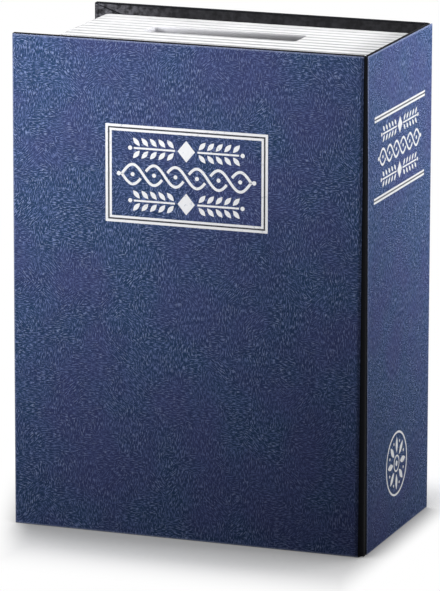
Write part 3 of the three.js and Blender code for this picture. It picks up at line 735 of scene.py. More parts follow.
def round_edges(made, radius, steps, chosen=None):
    """Rounds a bmesh's edges, or those that the test picks."""
    edges = [edge for edge in made.edges if chosen is None or chosen(edge)]
    bmesh.ops.bevel(made, geom=edges, offset=radius, segments=steps, profile=0.5, affect="EDGES")
    return made


def on_side(side, across, up, out):
    """A point from its places across, up and outward of a side's face."""
    return side.origin + side.across * across + side.up * up + side.out * out


def bridge(made, rings, looped=False, around=True):
    """Faces from each ring of vertices to the next, and from the last to the first where looped.

    Where they don't go around, the rings are open rows.
    """
    for first, second in zip(rings, rings[1:] + rings[:1] if looped else rings[1:]):
        for i in range(len(first) if around else len(first) - 1):
            j = (i + 1) % len(first)
            made.faces.new(list(dict.fromkeys([first[i], first[j], second[j], second[i]])))


def prism(made, side, outline, low, high, inset=0):
    """A flat shape from one height over a side to another, its top drawn in by an inset."""
    middle = sum((Vector(point) for point in outline), Vector((0, 0))) / len(outline)

    def drawn_in(point):
        arm = Vector(point) - middle
        return middle + arm * max(0, 1 - inset / arm.length) if inset else Vector(point)

    foot = [made.verts.new(on_side(side, *point, low)) for point in outline]
    head = [made.verts.new(on_side(side, *drawn_in(point), high)) for point in outline]
    made.faces.new(foot[::-1])
    made.faces.new(head)
    bridge(made, [foot, head])
    return made


def ribbon(made, side, path, width, low, high, inset=0, closed=False):
    """A raised line of even width along a path of (across, up) points."""
    points = [Vector(point) for point in path]
    count = len(points)
    rows = []
    for i, point in enumerate(points):
        before = points[i - 1] if closed or i else point
        after = points[(i + 1) % count] if closed or i < count - 1 else point
        came = (point - before).normalized() if (point - before).length else (after - point).normalized()
        goes = (after - point).normalized() if (after - point).length else came
        mean = (came + goes).normalized()
        reach = width / 2 / max(0.3, mean.dot(goes))
        square = Vector((-mean.y, mean.x))
        row = []
        for share, height in ((-1, low), (-1, high), (1, high), (1, low)):
            over = share * (reach - (inset if height == high else 0))
            row.append(made.verts.new(on_side(side, *(point + square * over), height)))
        rows.append(row)
    bridge(made, rows, closed)
    if not closed:
        made.faces.new(rows[0])
        made.faces.new(rows[-1][::-1])
    return made


def arc(centre, radius, start, end, steps):
    """Points along an arc, both ends among them, with its angles in degrees."""
    turns = [math.radians(start + (end - start) * i / steps) for i in range(steps + 1)]
    return [(centre[0] + radius * math.cos(t), centre[1] + radius * math.sin(t)) for t in turns]


def eased(points, radius, closed):
    """A polyline whose corners are rounded over this radius, but not its ends."""
    steps = 2
    made = []
    count = len(points)
    for i, point in enumerate(points):
        if not closed and i in (0, count - 1):
            made.append(point)
            continue
        here = Vector(point)
        before, after = Vector(points[i - 1]), Vector(points[(i + 1) % count])
        near = here + (before - here).normalized() * min(radius, (before - here).length / 2)
        far = here + (after - here).normalized() * min(radius, (after - here).length / 2)
        for step in range(steps + 1):
            t = step / steps
            bend = near * (1 - t) ** 2 + here * 2 * t * (1 - t) + far * t**2
            made.append(tuple(bend))
    return made


def turned(made, profile, centre, axis, steps, shape=None):
    """A turned solid about an axis through a centre, from (radius, along) points.

    The profile ends on the axis at both ends, or comes back to its first point. shape can change a
    radius by the angle it stands at, as for a nut.
    """
    side = UP if abs(axis.z) < 0.5 else ACROSS
    other = axis.cross(side)
    looped = profile[0] == profile[-1]
    rings = []
    for radius, along in profile[:-1] if looped else profile:
        if radius == 0:
            rings.append([made.verts.new(centre + axis * along)] * steps)
            continue
        ring = []
        for k in range(steps):
            angle = 2 * math.pi * k / steps
            reach = shape(radius, angle) if shape else radius
            arm = side * math.cos(angle) + other * math.sin(angle)
            ring.append(made.verts.new(centre + axis * along + arm * reach))
        rings.append(ring)
    bridge(made, rings, looped)
    return made


def rim(profile, radius):
    """A turned profile with its corners rounded, ends left on the axis."""
    if profile[0] == profile[-1]:
        soft = eased(profile[:-1], radius, True)
        return soft + soft[:1]
    return eased(profile, radius, False)


def seat(piece, body, slot, *nodes):
    """Lets a piece move with a body and hides the solids it stands for. Its slot is not used."""
    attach(piece, body)
    if nodes:
        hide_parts(*nodes)


# Covers


def covering_of(cover, body):
    """The black covering of the front or back board, with mitred turn-ins round its lining."""
    looks = bpy.context.scene.book_safe_covers
    name, wrap = cover + "_covering", cover + "_wrap"
    board_low, board_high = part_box(cover + "_board")
    wrap_low, wrap_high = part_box(wrap)
    lining_low, lining_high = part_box(cover + "_lining")
    inward = 1 if lining_low.y > board_low.y else -1
    proud = looks.fold_thickness
    hinge_x = board_high.x
    low = Vector(wrap_low)
    high = Vector((hinge_x, wrap_high.y, wrap_high.z))
    inner_y = high.y if inward > 0 else low.y
    if inward > 0:
        high.y -= proud
    else:
        low.y += proud

    def away_from_hinge(edge):
        return min(vertex.co.x for vertex in edge.verts) < hinge_x - MM

    skin = round_edges(block(low, high), looks.edge_radius, 4, away_from_hinge)
    past = Vector((MM, 0, 0))
    pocket = add_piece("pocket", block(board_low, board_high + past), "shaded_edge_covering")
    window = add_piece("window", block(lining_low, lining_high + past), "shaded_edge_covering")
    piece = carve(add_piece(name, skin, "shaded_edge_covering"), pocket, window)

    folds = bmesh.new()
    side = Side(Vector((0, inner_y, 0)), ACROSS, UP, Vector((0, inward, 0)))
    edge, gap = looks.edge_radius, looks.fold_gap
    left, foot, head = low.x + edge, low.z + edge, high.z - edge
    inner_left, inner_foot, inner_head = lining_low.x, lining_low.z, lining_high.z
    drop = (inner_left - left) * looks.fold_slope
    fore_edge = [(left, foot), (inner_left, foot + drop), (inner_left, head - drop), (left, head)]
    foot_fold = [(left + gap, foot), (hinge_x, foot), (hinge_x, inner_foot)]
    foot_fold += [(inner_left, inner_foot), (inner_left, foot + drop - gap)]
    head_fold = [(left + gap, head), (inner_left, head - drop + gap), (inner_left, inner_head)]
    head_fold += [(hinge_x, inner_head), (hinge_x, head)]
    for outline in (fore_edge, foot_fold, head_fold):
        prism(folds, side, outline, -2 * proud, 0, proud / 2)
    seat(piece, body, "black_covering", wrap)
    seat(add_piece(name + "_folds", folds, "black_covering"), body, "black_covering")


def cloth_joint(name, mirrored):
    """The cloth that bends round a corner of the spine, from under one blue sheet to under the next.

    It lies just over the covering of both boards, is drawn in at the head and foot, and is thicker
    there, where it is turned in between the boards.
    """
    looks = bpy.context.scene.book_safe_covers
    wrap_low, wrap_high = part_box("front_wrap")
    hair = 0.01 * MM
    face_y = wrap_low.y - hair
    face_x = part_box("spine_wrap")[1].x + hair
    radius, lap = looks.joint_radius, looks.joint_lap
    flip = -1 if mirrored else 1
    outside = [(face_x, face_y + lap), (face_x, face_y + (lap + radius) / 2)]
    outside += arc((face_x - radius, face_y + radius), radius, 0, -90, 12)
    outside += [(face_x - (lap + radius) / 2, face_y), (face_x - lap, face_y)]
    count = len(outside)
    middle = Vector((face_x - lap, face_y + lap))
    foot, head = wrap_low.z, wrap_high.z
    # Millimetres from the end, and how far the cloth is drawn in there
    ends = [(0, 0.16), (0.05, 0.07), (0.14, 0.02), (0.3, 0), (1.2, 0), (6, 0)]
    plug_reach, lift_reach, unbent = 1.2, 6, 99
    rows = [(foot + rise * MM, inset * MM, rise) for rise, inset in ends]
    rows += [(foot + (head - foot) * share, 0, unbent) for share in (0.2, 0.35, 0.5, 0.65, 0.8)]
    rows += [(head - rise * MM, inset * MM, rise) for rise, inset in reversed(ends)]
    made = bmesh.new()
    rings = []
    for height, inset, rise in rows:
        outer, inner = [], []
        plug = looks.joint_plug * max(0, 1 - rise / plug_reach)
        for i, point in enumerate(outside):
            spot = Vector(point)
            inward = (middle - spot).normalized()
            bend = math.sin(math.pi * i / (count - 1)) ** 2
            lift = looks.joint_lift * bend * max(0, 1 - rise / lift_reach)
            z = height + lift if height < (foot + head) / 2 else height - lift * 0.4
            for row, depth in ((outer, inset), (inner, looks.joint_thickness + plug * bend)):
                x, y = spot + inward * depth
                row.append(made.verts.new((x, y * flip, z)))
        rings.append(outer + inner[::-1])
    bridge(made, rings)
    for ring in (rings[0], rings[-1]):
        for i in range(count - 1):
            made.faces.new([ring[i], ring[i + 1], ring[-i - 2], ring[-i - 1]])
    return add_piece(name, made, "shaded_edge_covering", 50)


def skived(low, high, depth):
    """A board's block whose inner face slopes to meet thinner ends at the head and foot."""
    hair = 0.001 * MM

    def inner_end(edge):
        near, far = (vertex.co for vertex in edge.verts)
        return max(near.x, far.x) < low.x + hair and abs(near.z - far.z) < hair

    return round_edges(block(low, high), depth, 1, inner_end)


def spine_cover(looks):
    """The spine's board and the covering round it, thinned inside at the head and foot."""
    board_low, board_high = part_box("spine_board")
    wrap_low, wrap_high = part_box("spine_wrap")
    skin = Vector((0, wrap_high.x - board_high.x, 0))
    low = Vector((wrap_low.x, board_low.y, wrap_low.z)) - skin
    high = Vector((wrap_high.x, board_high.y, wrap_high.z)) + skin
    skin_made = round_edges(skived(low, high, looks.spine_skive), looks.edge_radius, 4)
    spine = add_piece("spine_covering", skin_made, "shaded_edge_covering")
    # The covering keeps its thickness along the slopes.
    thinned = looks.spine_skive - skin.y * (2 - math.sqrt(2))
    pocket = add_piece("pocket", skived(board_low, board_high, thinned), "shaded_edge_covering")
    seat(carve(spine, pocket), "case", "black_covering", "spine_wrap")
    board = add_piece("spine_board_skived", skived(board_low, board_high, thinned), "grey_board")
    seat(board, "case", "grey_board", "spine_board")


def bending_joint():
    """The front cover's cloth joint, its place baked into its mesh."""
    front = cloth_joint("front_joint_cloth", False)
    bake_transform(front)


class BOOKSAFE_OT_covers(bpy.types.Operator):
    """Fold the black covering over the three boards and round the joints"""

    bl_idname = "book_safe.covers"
    bl_label = "Covered boards"

    def execute(self, context):
        looks = context.scene.book_safe_covers
        covering_of("front", "cover")
        covering_of("back", "case")
        spine_cover(looks)
        bending_joint()
        seat(cloth_joint("back_joint_cloth", True), "case", "black_covering")
        for node in ("front_board", "back_board"):
            dress(node, "grey_board")
        for node in ("front_lining", "back_lining", "spine_lining"):
            dress(node, "black_covering")
        return {"FINISHED"}


def dress(node, finish_name, edge=0):
    """Gives a solid of the frame its finish and, for sheet metal, broken edges."""
    piece = frame["nodes"][node]
    piece.data.materials.clear()
    piece.data.materials.append(finish(finish_name))
    if edge:
        merge = piece.modifiers.new("merge", "DECIMATE")
        merge.decimate_type = "DISSOLVE"
        merge.angle_limit = math.radians(1)
        ease = piece.modifiers.new("ease", "BEVEL")
        ease.width = edge
        ease.segments = 2
        ease.limit_method = "ANGLE"
        ease.harden_normals = True
        ease.angle_limit = math.radians(35)


# Blue sheets and tooling


def sheet_corners(node, side):
    """The four corners of a sheet's outline on a side, from its solid, counter-clockwise."""
    found = []
    for vertex in frame["nodes"][node].data.vertices:
        arm = vertex.co - side.origin
        found.append((arm.dot(side.across), arm.dot(side.up)))
    low, high = min(p[1] for p in found), max(p[1] for p in found)
    foot = [p[0] for p in found if p[1] < (low + high) / 2]
    head = [p[0] for p in found if p[1] > (low + high) / 2]
    return [(min(foot), low), (max(foot), low), (max(head), high), (min(head), high)]


def blue_sheet(place, side, body, channels):
    """A leatherette sheet with a rounded edge and the channels that its rules are pressed into.

    A channel is an outer and an inner outline, or an outer one and None where it isn't a ring.
    """
    name, node = place + "_leatherette", place + "_panel"
    panels = bpy.context.scene.book_safe_panels
    height = bpy.context.scene.book_safe_foil.height
    low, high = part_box(node)
    thickness = abs((high - low).dot(side.out))
    made = prism(bmesh.new(), side, sheet_corners(node, side), -thickness, -height)
    piece = add_piece(name, round_edges(made, panels.edge_radius, 3), name)
    tools = []
    for outer, inner in channels:
        tool = bmesh.new()
        depth = -height - panels.channel_depth
        if inner is None:
            prism(tool, side, outer, depth, height)
        else:
            path = [((a[0] + b[0]) / 2, (a[1] + b[1]) / 2) for a, b in zip(outer, inner)]
            width = abs(outer[0][0] - inner[0][0])
            ribbon(tool, side, path, width, depth, height, closed=True)
        tools.append(add_piece("channel", tool, "burnished_shaded_channel"))
    seat(carve(piece, *tools) if tools else piece, body, "blue_leatherette", node)


def rectangle(width, height, middle, shift=0):
    """The corners of a rectangle about a point near the middle line, counter-clockwise."""
    left, right = shift - width / 2, shift + width / 2
    low, high = middle - height / 2, middle + height / 2
    return [(left, low), (right, low), (right, high), (left, high)]


def frame_channel(looks, shift=0):
    """The ring that the title frame's two rules are pressed into, as its outer and inner corners."""
    band = looks.outer_rule + looks.rule_gap + looks.inner_rule
    size = looks.frame_width, looks.frame_height
    outer = rectangle(*size, looks.frame_middle, shift)
    inner = rectangle(*[run - 2 * band for run in size], looks.frame_middle, shift)
    return outer, inner


def spine_band(looks):
    """The height of a pair of spine rules."""
    return 2 * looks.spine_rule + looks.spine_rule_gap


def leaf(centre, run, width, turn):
    """The outline of a pointed leaf about its middle, its angle in degrees."""
    shares = [i / 8 for i in range(9)]
    upper = [((s - 0.5) * run, width / 2 * math.sin(math.pi * s)) for s in shares]
    lower = [((s - 0.5) * run, -width / 2 * math.sin(math.pi * s)) for s in shares[-2:0:-1]]
    c, s = math.cos(math.radians(turn)), math.sin(math.radians(turn))
    return [(centre[0] + x * c - y * s, centre[1] + x * s + y * c) for x, y in upper + lower][::-1]


def circle(centre, radius, steps=14):
    """The points of a circle."""
    return arc(centre, radius, 0, 360 * (steps - 1) / steps, steps - 1)


def laurel(stamp, middle, width, height, line):
    """A sprig each way from a lozenge: a stem with pairs of slanting leaves and a dot at its tip."""
    pairs = 5
    half = width / 2
    hub = height * 0.42
    first = hub + line
    pitch = (half - first - line) / pairs
    stamp.shape([(hub, middle), (0, middle + height / 2), (-hub, middle), (0, middle - height / 2)])
    for way in (-1, 1):
        stamp.line([(way * first, middle), (way * (half - line * 1.5), middle)], line * 0.8)
        stamp.shape(circle((way * half, middle), line * 0.9))
        for i in range(pairs):
            x = way * (first + pitch * (i + 0.55))
            for above in (-1, 1):
                place = (x, middle + above * height * 0.29)
                stamp.shape(leaf(place, height * 0.5, height * 0.22, 48 * above * way))


def twist(stamp, middle, width, height, line):
    """Two lines that pass over and under each other in a row of eyes, with a dot in each eye."""
    eyes = 6
    run = width / eyes
    swing = (height - line) / 2
    gap = line * 0.95
    steps = 16

    def bend(x, way):
        return (x - width / 2, middle + way * swing * math.sin(math.pi * x / run))

    for way in (-1, 1):
        breaks = [k for k in range(1, eyes) if (k % 2 == 0) == (way > 0)]
        stops = [0] + breaks + [eyes]
        for start, end in zip(stops, stops[1:]):
            x0 = start * run + (gap if start in breaks else 0)
            x1 = end * run - (gap if end in breaks else 0)
            count = steps * (end - start)
            stamp.line([bend(x0 + (x1 - x0) * i / count, way) for i in range(count + 1)], line)
    for k in range(eyes):
        stamp.shape(circle(((k + 0.5) * run - width / 2, middle), line * 0.75))
    for way in (-1, 1):
        stamp.shape(circle((way * (width / 2 + line * 1.1), middle), line * 0.8))


def rosette(stamp, middle, radius, line):
    """Eight petals and eight dots in a ring."""
    petals = 8
    stamp.line(circle((0, middle), radius - line / 2, 64), line, True)
    stamp.line(circle((0, middle), radius * 0.24, 24), line * 0.8, True)
    stamp.shape(circle((0, middle), radius * 0.09))
    for k in range(petals):
        turn = 360 / petals * k
        c, s = math.cos(math.radians(turn)), math.sin(math.radians(turn))
        reach = radius * 0.58
        stamp.shape(leaf((reach * c, middle + reach * s), radius * 0.5, radius * 0.2, turn))
        half = math.radians(turn + 180 / petals)
        spot = (radius * 0.7 * math.cos(half), middle + radius * 0.7 * math.sin(half))
        stamp.shape(circle(spot, line * 0.7, 12))


class Stamp:
    """A hot tool that lays foil on one side of the book."""

    def __init__(self, side, shift=0):
        self.made = bmesh.new()
        self.looks = bpy.context.scene.book_safe_foil
        self.side = Side(side.origin + side.across * shift, *side[1:])
        self.low = -2 * self.looks.height

    def line(self, path, width, closed=False):
        """Foil along a path, on the sheet's face."""
        ribbon(self.made, self.side, path, width, self.low, 0, self.looks.bevel, closed)

    def shape(self, outline):
        """Foil inside an outline, on the sheet's face."""
        prism(self.made, self.side, outline, self.low, 0, self.looks.bevel)

    def sunk(self, path, width, closed=False):
        """Foil along a path at the bottom of a channel, just below the sheet's face."""
        depth = bpy.context.scene.book_safe_panels.channel_depth
        height = self.looks.height
        low, high = -height - 1.5 * depth, -1.2 * height
        ribbon(self.made, self.side, path, width, low, high, self.looks.bevel, closed)

    def ornaments(self, middle, pitch, sizes):
        """A twist with a pair of sprigs above it and one below."""
        line = self.looks.line
        laurel(self, middle + pitch, *sizes.sprig, line * sizes.sprig_line)
        twist(self, middle, *sizes.twist, line * sizes.twist_line)
        laurel(self, middle - pitch, *sizes.sprig, line * sizes.sprig_line)


class BOOKSAFE_OT_blue_sheets(bpy.types.Operator):
    """Cut the three blue leatherette sheets, with the channels of their rules"""

    bl_idname = "book_safe.blue_sheets"
    bl_label = "Blue sheets"

    def execute(self, context):
        foils = context.scene.book_safe_foil
        title = frame_channel(foils, foils.frame_shift)
        rules = [
            (rectangle(foils.spine_rule_length, spine_band(foils), height), None)
            for height in (foils.spine_upper, foils.spine_lower)
        ]
        blue_sheet("front", FRONT, "cover", [title])
        blue_sheet("spine", SPINE, "case", rules)
        blue_sheet("back", BACK, "case", [])
        return {"FINISHED"}


class BOOKSAFE_OT_tooling(bpy.types.Operator):
    """Lay the silver foil: rules, sprigs, twists and a rosette"""

    bl_idname = "book_safe.tooling"
    bl_label = "Silver tooling"

    def execute(self, context):
        looks = context.scene.book_safe_foil
        front = Stamp(FRONT, looks.frame_shift)
        outer, inner = frame_channel(looks)
        for corners, width, way in ((outer, looks.outer_rule, 1), (inner, looks.inner_rule, -1)):
            inset = way * width
            size = (corners[1][0] - corners[0][0] - inset, corners[2][1] - corners[1][1] - inset)
            front.sunk(rectangle(*size, looks.frame_middle), width, True)
        room = inner[2][1] - inner[1][1]
        front.ornaments(looks.frame_middle, room * 0.31, FRONT_ORNAMENTS)
        seat(add_piece("front_tooling", front.made, "silver_foil"), "cover", "blue_leatherette")

        spine = Stamp(SPINE)
        half = looks.spine_rule_length / 2
        step = (looks.spine_rule + looks.spine_rule_gap) / 2
        for height in (looks.spine_upper, looks.spine_lower):
            for level in (height - step, height + step):
                spine.sunk([(-half, level), (half, level)], looks.spine_rule)
        middle = (looks.spine_upper + looks.spine_lower) / 2
        room = looks.spine_upper - looks.spine_lower
        spine.ornaments(middle, room * 0.28, SPINE_ORNAMENTS)
        rosette(spine, looks.rosette_middle, looks.rosette_radius, looks.line * 0.9)
        seat(add_piece("spine_tooling", spine.made, "silver_foil"), "case", "blue_leatherette")
        return {"FINISHED"}


# Page block


def page_path(low, high, inset, radius):
    """The outline of the pages as (x, z), from the spine along the foot, fore-edge and head."""
    steps = 6
    left, foot, head, right = low.x + inset, low.z + inset, high.z - inset, high.x
    path = [(right, foot), ((right * 2 + left) / 3, foot), ((right + left * 2) / 3, foot)]
    path += arc((left + radius, foot + radius), radius, 270, 180, steps)
    path += [(left, foot + (head - foot) * share) for share in (0.3, 0.5, 0.7)]
    path += arc((left + radius, head - radius), radius, 180, 90, steps)
    path += [((right + left * 2) / 3, head), ((right * 2 + left) / 3, head), (right, head)]
    return path


def rib_rows(looks, low, high):
    """Where the moulding's outer rows lie, as (y, inset): a round-shouldered groove between ribs."""
    pitch = (high.y - low.y) / looks.ribs
    reach, depth = looks.groove_reach, looks.groove_depth
    shares = (0, 0.12, 0.3, 0.55, 0.8, 1)
    shoulder = [(share * reach, depth * (1 - math.sqrt(1 - (1 - share) ** 2))) for share in shares]
    edge = [(0, 0.12 * MM), (0.05 * MM, 0.04 * MM), (0.14 * MM, 0)]
    rows = []
    for i in range(looks.ribs):
        start = low.y + i * pitch
        near = edge if i == 0 else shoulder
        far = edge if i == looks.ribs - 1 else shoulder
        rows += [(start + away, inset) for away, inset in near]
        rows.append((start + pitch / 2, 0))
        rows += [(start + pitch - away, inset) for away, inset in reversed(far)]
        if i < looks.ribs - 1:
            rows.pop()
    return rows


def slot_tool(looks, top):
    """The money slot as a cutting shape with a round lip, widening to the top."""
    made = bmesh.new()
    lip, wall = looks.slot_lip, looks.wall
    levels = [(top - wall - MM, -lip), (top - lip, -lip)]
    levels += [(top - lip * (1 - math.sin(t)), -lip * math.cos(t)) for t in (0.5, 0.9, 1.25, 1.5)]
    levels.append((top + MM, lip))
    rings = []
    for z, grow in levels:
        half_x, half_y = looks.slot_length / 2 + grow, looks.slot_width / 2 + grow
        radius = looks.slot_radius + grow
        ring = []
        for corner, (way_x, way_y) in enumerate(((1, 1), (-1, 1), (-1, -1), (1, -1))):
            across, deep = way_x * (half_x - radius), way_y * (half_y - radius)
            centre = (looks.slot_x + across, looks.slot_y + deep)
            ring += arc(centre, radius, 90 * corner, 90 * corner + 90, 5)
        rings.append([made.verts.new((x, y, z)) for x, y in ring])
    bridge(made, rings)
    made.faces.new(rings[0][::-1])
    made.faces.new(rings[-1])
    return add_piece("slot_tool", made, "slot_moulding")


class BOOKSAFE_OT_pages(bpy.types.Operator):
    """Mould the ribbed page block and cut its money slot"""

    bl_idname = "book_safe.pages"
    bl_label = "Page block"

    def execute(self, context):
        looks = context.scene.book_safe_pages
        low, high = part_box("page_block")
        made = bmesh.new()

        def row(y, path):
            return [made.verts.new((x, y, z)) for x, z in path]

        outer = []
        for y, inset in rib_rows(looks, low, high):
            outer.append(row(y, page_path(low, high, inset, looks.corner_radius - inset)))
        inner = [row(y, page_path(low, high, looks.wall, looks.inner_radius)) for y in (high.y, low.y)]
        rings = outer + inner
        bridge(made, rings, True, False)
        for end in (0, -1):
            made.faces.new([ring[end] for ring in rings])
        piece = add_piece("pages", made, "moulded_pages", 40)
        seat(carve(piece, slot_tool(looks, high.z)), "case", "page_moulding", "page_block")
        return {"FINISHED"}


# Metalwork


def middle_of(low, high):
    """The middle of a box."""
    return (low + high) / 2


class BOOKSAFE_OT_steel_box(bpy.types.Operator):
    """Finish the steel box, its door and the lock's keeper"""

    bl_idname = "book_safe.steel_box"
    bl_label = "Steel box"

    def execute(self, context):
        edge = context.scene.book_safe_metal.edge
        dress("box_tray", "powder_coat", edge)
        dress("box_door", "powder_coat", edge)
        dress("lock_keeper", "zinc_plate", edge)
        return {"FINISHED"}


class BOOKSAFE_OT_rivets(bpy.types.Operator):
    """Turn the dome-headed rivets of the box and the hinge"""

    bl_idname = "book_safe.rivets"
    bl_label = "Rivets"

    def execute(self, context):
        looks = context.scene.book_safe_metal
        for node in sorted(frame["nodes"]):
            if "rivet" not in node:
                continue
            low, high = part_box(node)
            axis = ACROSS if node.startswith(("spine", "fixed")) else DEEP
            head = abs((high - low).z) / 2
            run = (high - low).dot(axis)
            rise = head * looks.head_height_share
            shank = head * looks.shank_share
            quarter = [i * math.pi / 16 for i in range(9)]
            dome = [(head * math.sin(t), rise * (1 - math.cos(t))) for t in quarter]
            profile = dome + [(shank, rise), (shank, run), (0, run)]
            centre = middle_of(low, high) - axis * (run / 2)
            made = turned(bmesh.new(), profile, centre, axis, 40)
            piece = add_piece(node + "_turned", made, "zinc_plate")
            seat(piece, frame["nodes"][node]["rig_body"], "plated_steel", node)
        return {"FINISHED"}


def knuckle_spans(looks, low, high):
    """The heights of the hinge's knuckles, from the foot up."""
    pitch = (high - low + looks.knuckle_gap) / looks.knuckles
    return [(low + i * pitch, low + (i + 1) * pitch - looks.knuckle_gap) for i in range(looks.knuckles)]


def add_block(made, low, high, radius):
    """Adds a block with broken edges to a bmesh."""
    part = round_edges(block(low, high), radius, 2)
    mesh = bpy.data.meshes.new("part")
    part.to_mesh(mesh)
    part.free()
    made.from_mesh(mesh)
    bpy.data.meshes.remove(mesh)


def rolled_leaf(looks, node, body, plate, tab, first):
    """A hinge leaf: its plate, and every second knuckle from the first with the tab that joins it.

    The tab is given as the near and far corners of its section, across and deep.
    """
    low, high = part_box("hinge_fixed_leaf")
    centre = middle_of(*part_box("hinge_pin"))
    centre.z = 0
    radius = centre.y - low.y
    bore = looks.pin_radius + looks.clearance
    soft = looks.edge / 2
    made = bmesh.new()
    add_block(made, *plate, soft)
    for foot, head in knuckle_spans(looks, low.z, high.z)[first::2]:
        ring = [(bore, foot), (radius, foot), (radius, head), (bore, head), (bore, foot)]
        turned(made, rim(ring, soft), centre, UP, 48)
        add_block(made, Vector((*tab[0], foot)), Vector((*tab[1], head)), soft)
    seat(add_piece(node + "_rolled", made, "zinc_plate"), body, "plated_steel", node)


def headed_pin(looks):
    """The hinge's pin, with a low head at each end."""
    low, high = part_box("hinge_pin")
    head, run, cap = (high.x - low.x) / 2, high.z - low.z, looks.pin_head
    end = [(0, 0), (head * 0.7, cap * 0.05), (head, cap * 0.5), (head, cap), (looks.pin_radius, cap)]
    profile = end + [(radius, run - along) for radius, along in reversed(end)]
    foot = middle_of(low, high) - UP * (run / 2)
    pin = add_piece("hinge_pin_turned", turned(bmesh.new(), profile, foot, UP, 40), "zinc_plate")
    seat(pin, "case", "plated_steel", "hinge_pin")


class BOOKSAFE_OT_hinge(bpy.types.Operator):
    """Roll the door hinge's two leaves round their pin"""

    bl_idname = "book_safe.hinge"
    bl_label = "Door hinge"

    def execute(self, context):
        looks = context.scene.book_safe_metal
        axis = middle_of(*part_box("hinge_pin"))
        bore = looks.pin_radius + looks.clearance
        low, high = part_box("hinge_fixed_leaf")
        near_x, front_y = high.x - looks.leaf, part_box("box_tray")[0].y
        plate = (Vector((near_x, front_y, low.z)), high)
        tab = ((near_x, axis.y + bore), (high.x, front_y + looks.leaf))
        rolled_leaf(looks, "hinge_fixed_leaf", "case", plate, tab, 0)

        low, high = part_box("hinge_moving_leaf")
        door_low, door_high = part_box("box_door")
        near_y = door_low.y - looks.leaf
        plate = (Vector((low.x, near_y, low.z)), Vector((door_high.x, door_low.y, high.z)))
        tab = ((door_high.x - looks.leaf, near_y), (axis.x - bore, door_low.y))
        rolled_leaf(looks, "hinge_moving_leaf", "door", plate, tab, 1)
        headed_pin(looks)
        return {"FINISHED"}


def hexagon(flats):
    """A radius that follows a hexagon of this half width across its flats, chamfered at the ends."""

    def reach(radius, angle):
        if radius < flats * 0.9:
            return radius
        to_flat = (angle + math.pi / 6) % (math.pi / 3) - math.pi / 6
        return min(radius, flats / math.cos(to_flat))

    return reach


def is_flat_rim(axis):
    """Picks the edges of a prism's two flat ends."""
    hair = 0.0001 * MM
    return lambda edge: abs((edge.verts[0].co - edge.verts[1].co).dot(axis)) < hair


def lock_axis():
    """The lock's axis, as its point in the plane between front and back."""
    centre = middle_of(*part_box("lock_barrel"))
    centre.y = 0
    return centre


def lock_piece(node, profile, steps, coat="zinc_plate"):
    """A piece turned about the lock's axis, named after its solid."""
    return add_piece(node + "_turned", turned(bmesh.new(), profile, lock_axis(), DEEP, steps), coat)


def make_barrel(looks):
    """The lock's barrel, with a dished head and a thread that starts at the nut."""
    low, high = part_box("lock_barrel")
    head, soft, bore, body = (high.x - low.x) / 2, looks.edge, looks.bore_radius, looks.barrel_radius
    shoulder = low.y + looks.head_length
    profile = [(bore, low.y + 3 * soft), (bore + 3 * soft, low.y), (head - 4 * soft, low.y)]
    profile += [(head - soft, low.y + 2 * soft), (head, low.y + 4 * soft)]
    profile += [(head, shoulder), (body, shoulder)]
    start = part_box("lock_nut")[0].y
    root = body - looks.thread * 0.35
    turns = int((high.y - start) / looks.thread)
    for i in range(turns):
        y = start + i * looks.thread
        profile += [(body, y), (root, y + looks.thread / 2)]
    profile += [(body, start + turns * looks.thread), (root, high.y), (bore, high.y), profile[0]]
    seat(lock_piece("lock_barrel", profile, 72, "lock_chrome"), "door", "lock_chrome", "lock_barrel")


def make_washer(looks):
    """The washer under the lock's nut."""
    low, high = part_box("lock_washer")
    bore, outer = looks.barrel_radius + looks.clearance, (high.x - low.x) / 2
    ring = [(bore, low.y), (outer, low.y), (outer, high.y), (bore, high.y), (bore, low.y)]
    seat(lock_piece("lock_washer", rim(ring, looks.edge), 64), "door", "plated_steel", "lock_washer")


def make_nut(looks):
    """The lock's six-sided nut, chamfered on both faces."""
    low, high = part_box("lock_nut")
    bore, flats = looks.barrel_radius + looks.clearance, (high.z - low.z) / 2
    corner = flats / math.cos(math.pi / 6)
    slope = 4 * looks.edge
    profile = [(bore, low.y), (flats, low.y), (corner, low.y + slope), (corner, high.y - slope)]
    profile += [(flats, high.y), (bore, high.y), (bore, low.y)]
    nut = turned(bmesh.new(), profile, lock_axis(), DEEP, 96, hexagon(flats))
    seat(add_piece("lock_nut_filed", nut, "zinc_plate", 20), "door", "plated_steel", "lock_nut")


def make_plug(looks):
    """The lock's plug with its keyway."""
    low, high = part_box("lock_plug")
    radius, centre = (high.x - low.x) / 2, lock_axis()
    profile = [(0, low.y), (radius, low.y), (radius, high.y), (0, high.y)]
    plug = lock_piece("lock_plug", rim(profile, looks.edge), 56, "lock_brass")
    half = Vector((looks.keyway_width / 2, 0, looks.keyway_height / 2))
    mouth = centre + DEEP * (low.y - MM) - half
    end = centre + DEEP * (low.y + looks.keyway_depth) + half
    keyway = add_piece("keyway", round_edges(block(mouth, end), 2 * looks.edge, 2), "lock_brass")
    seat(carve(plug, keyway), "lock_works", "lock_brass", "lock_plug")


def make_cam(looks):
    """The lock's cam, a flat bar with round ends."""
    low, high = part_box("lock_cam")
    across, half_width = lock_axis().x, (high.x - low.x) / 2
    outline = arc((across, low.z + half_width), half_width, 180, 360, 20)
    outline += arc((across, high.z - half_width), half_width, 0, 180, 20)
    side = Side(Vector((0, high.y, 0)), ACROSS, UP, DEEP)
    bar = prism(bmesh.new(), side, outline, low.y - high.y, 0)
    cam = add_piece("lock_cam_cut", round_edges(bar, looks.edge, 2, is_flat_rim(DEEP)), "zinc_plate")
    seat(cam, "lock_works", "plated_steel", "lock_cam")


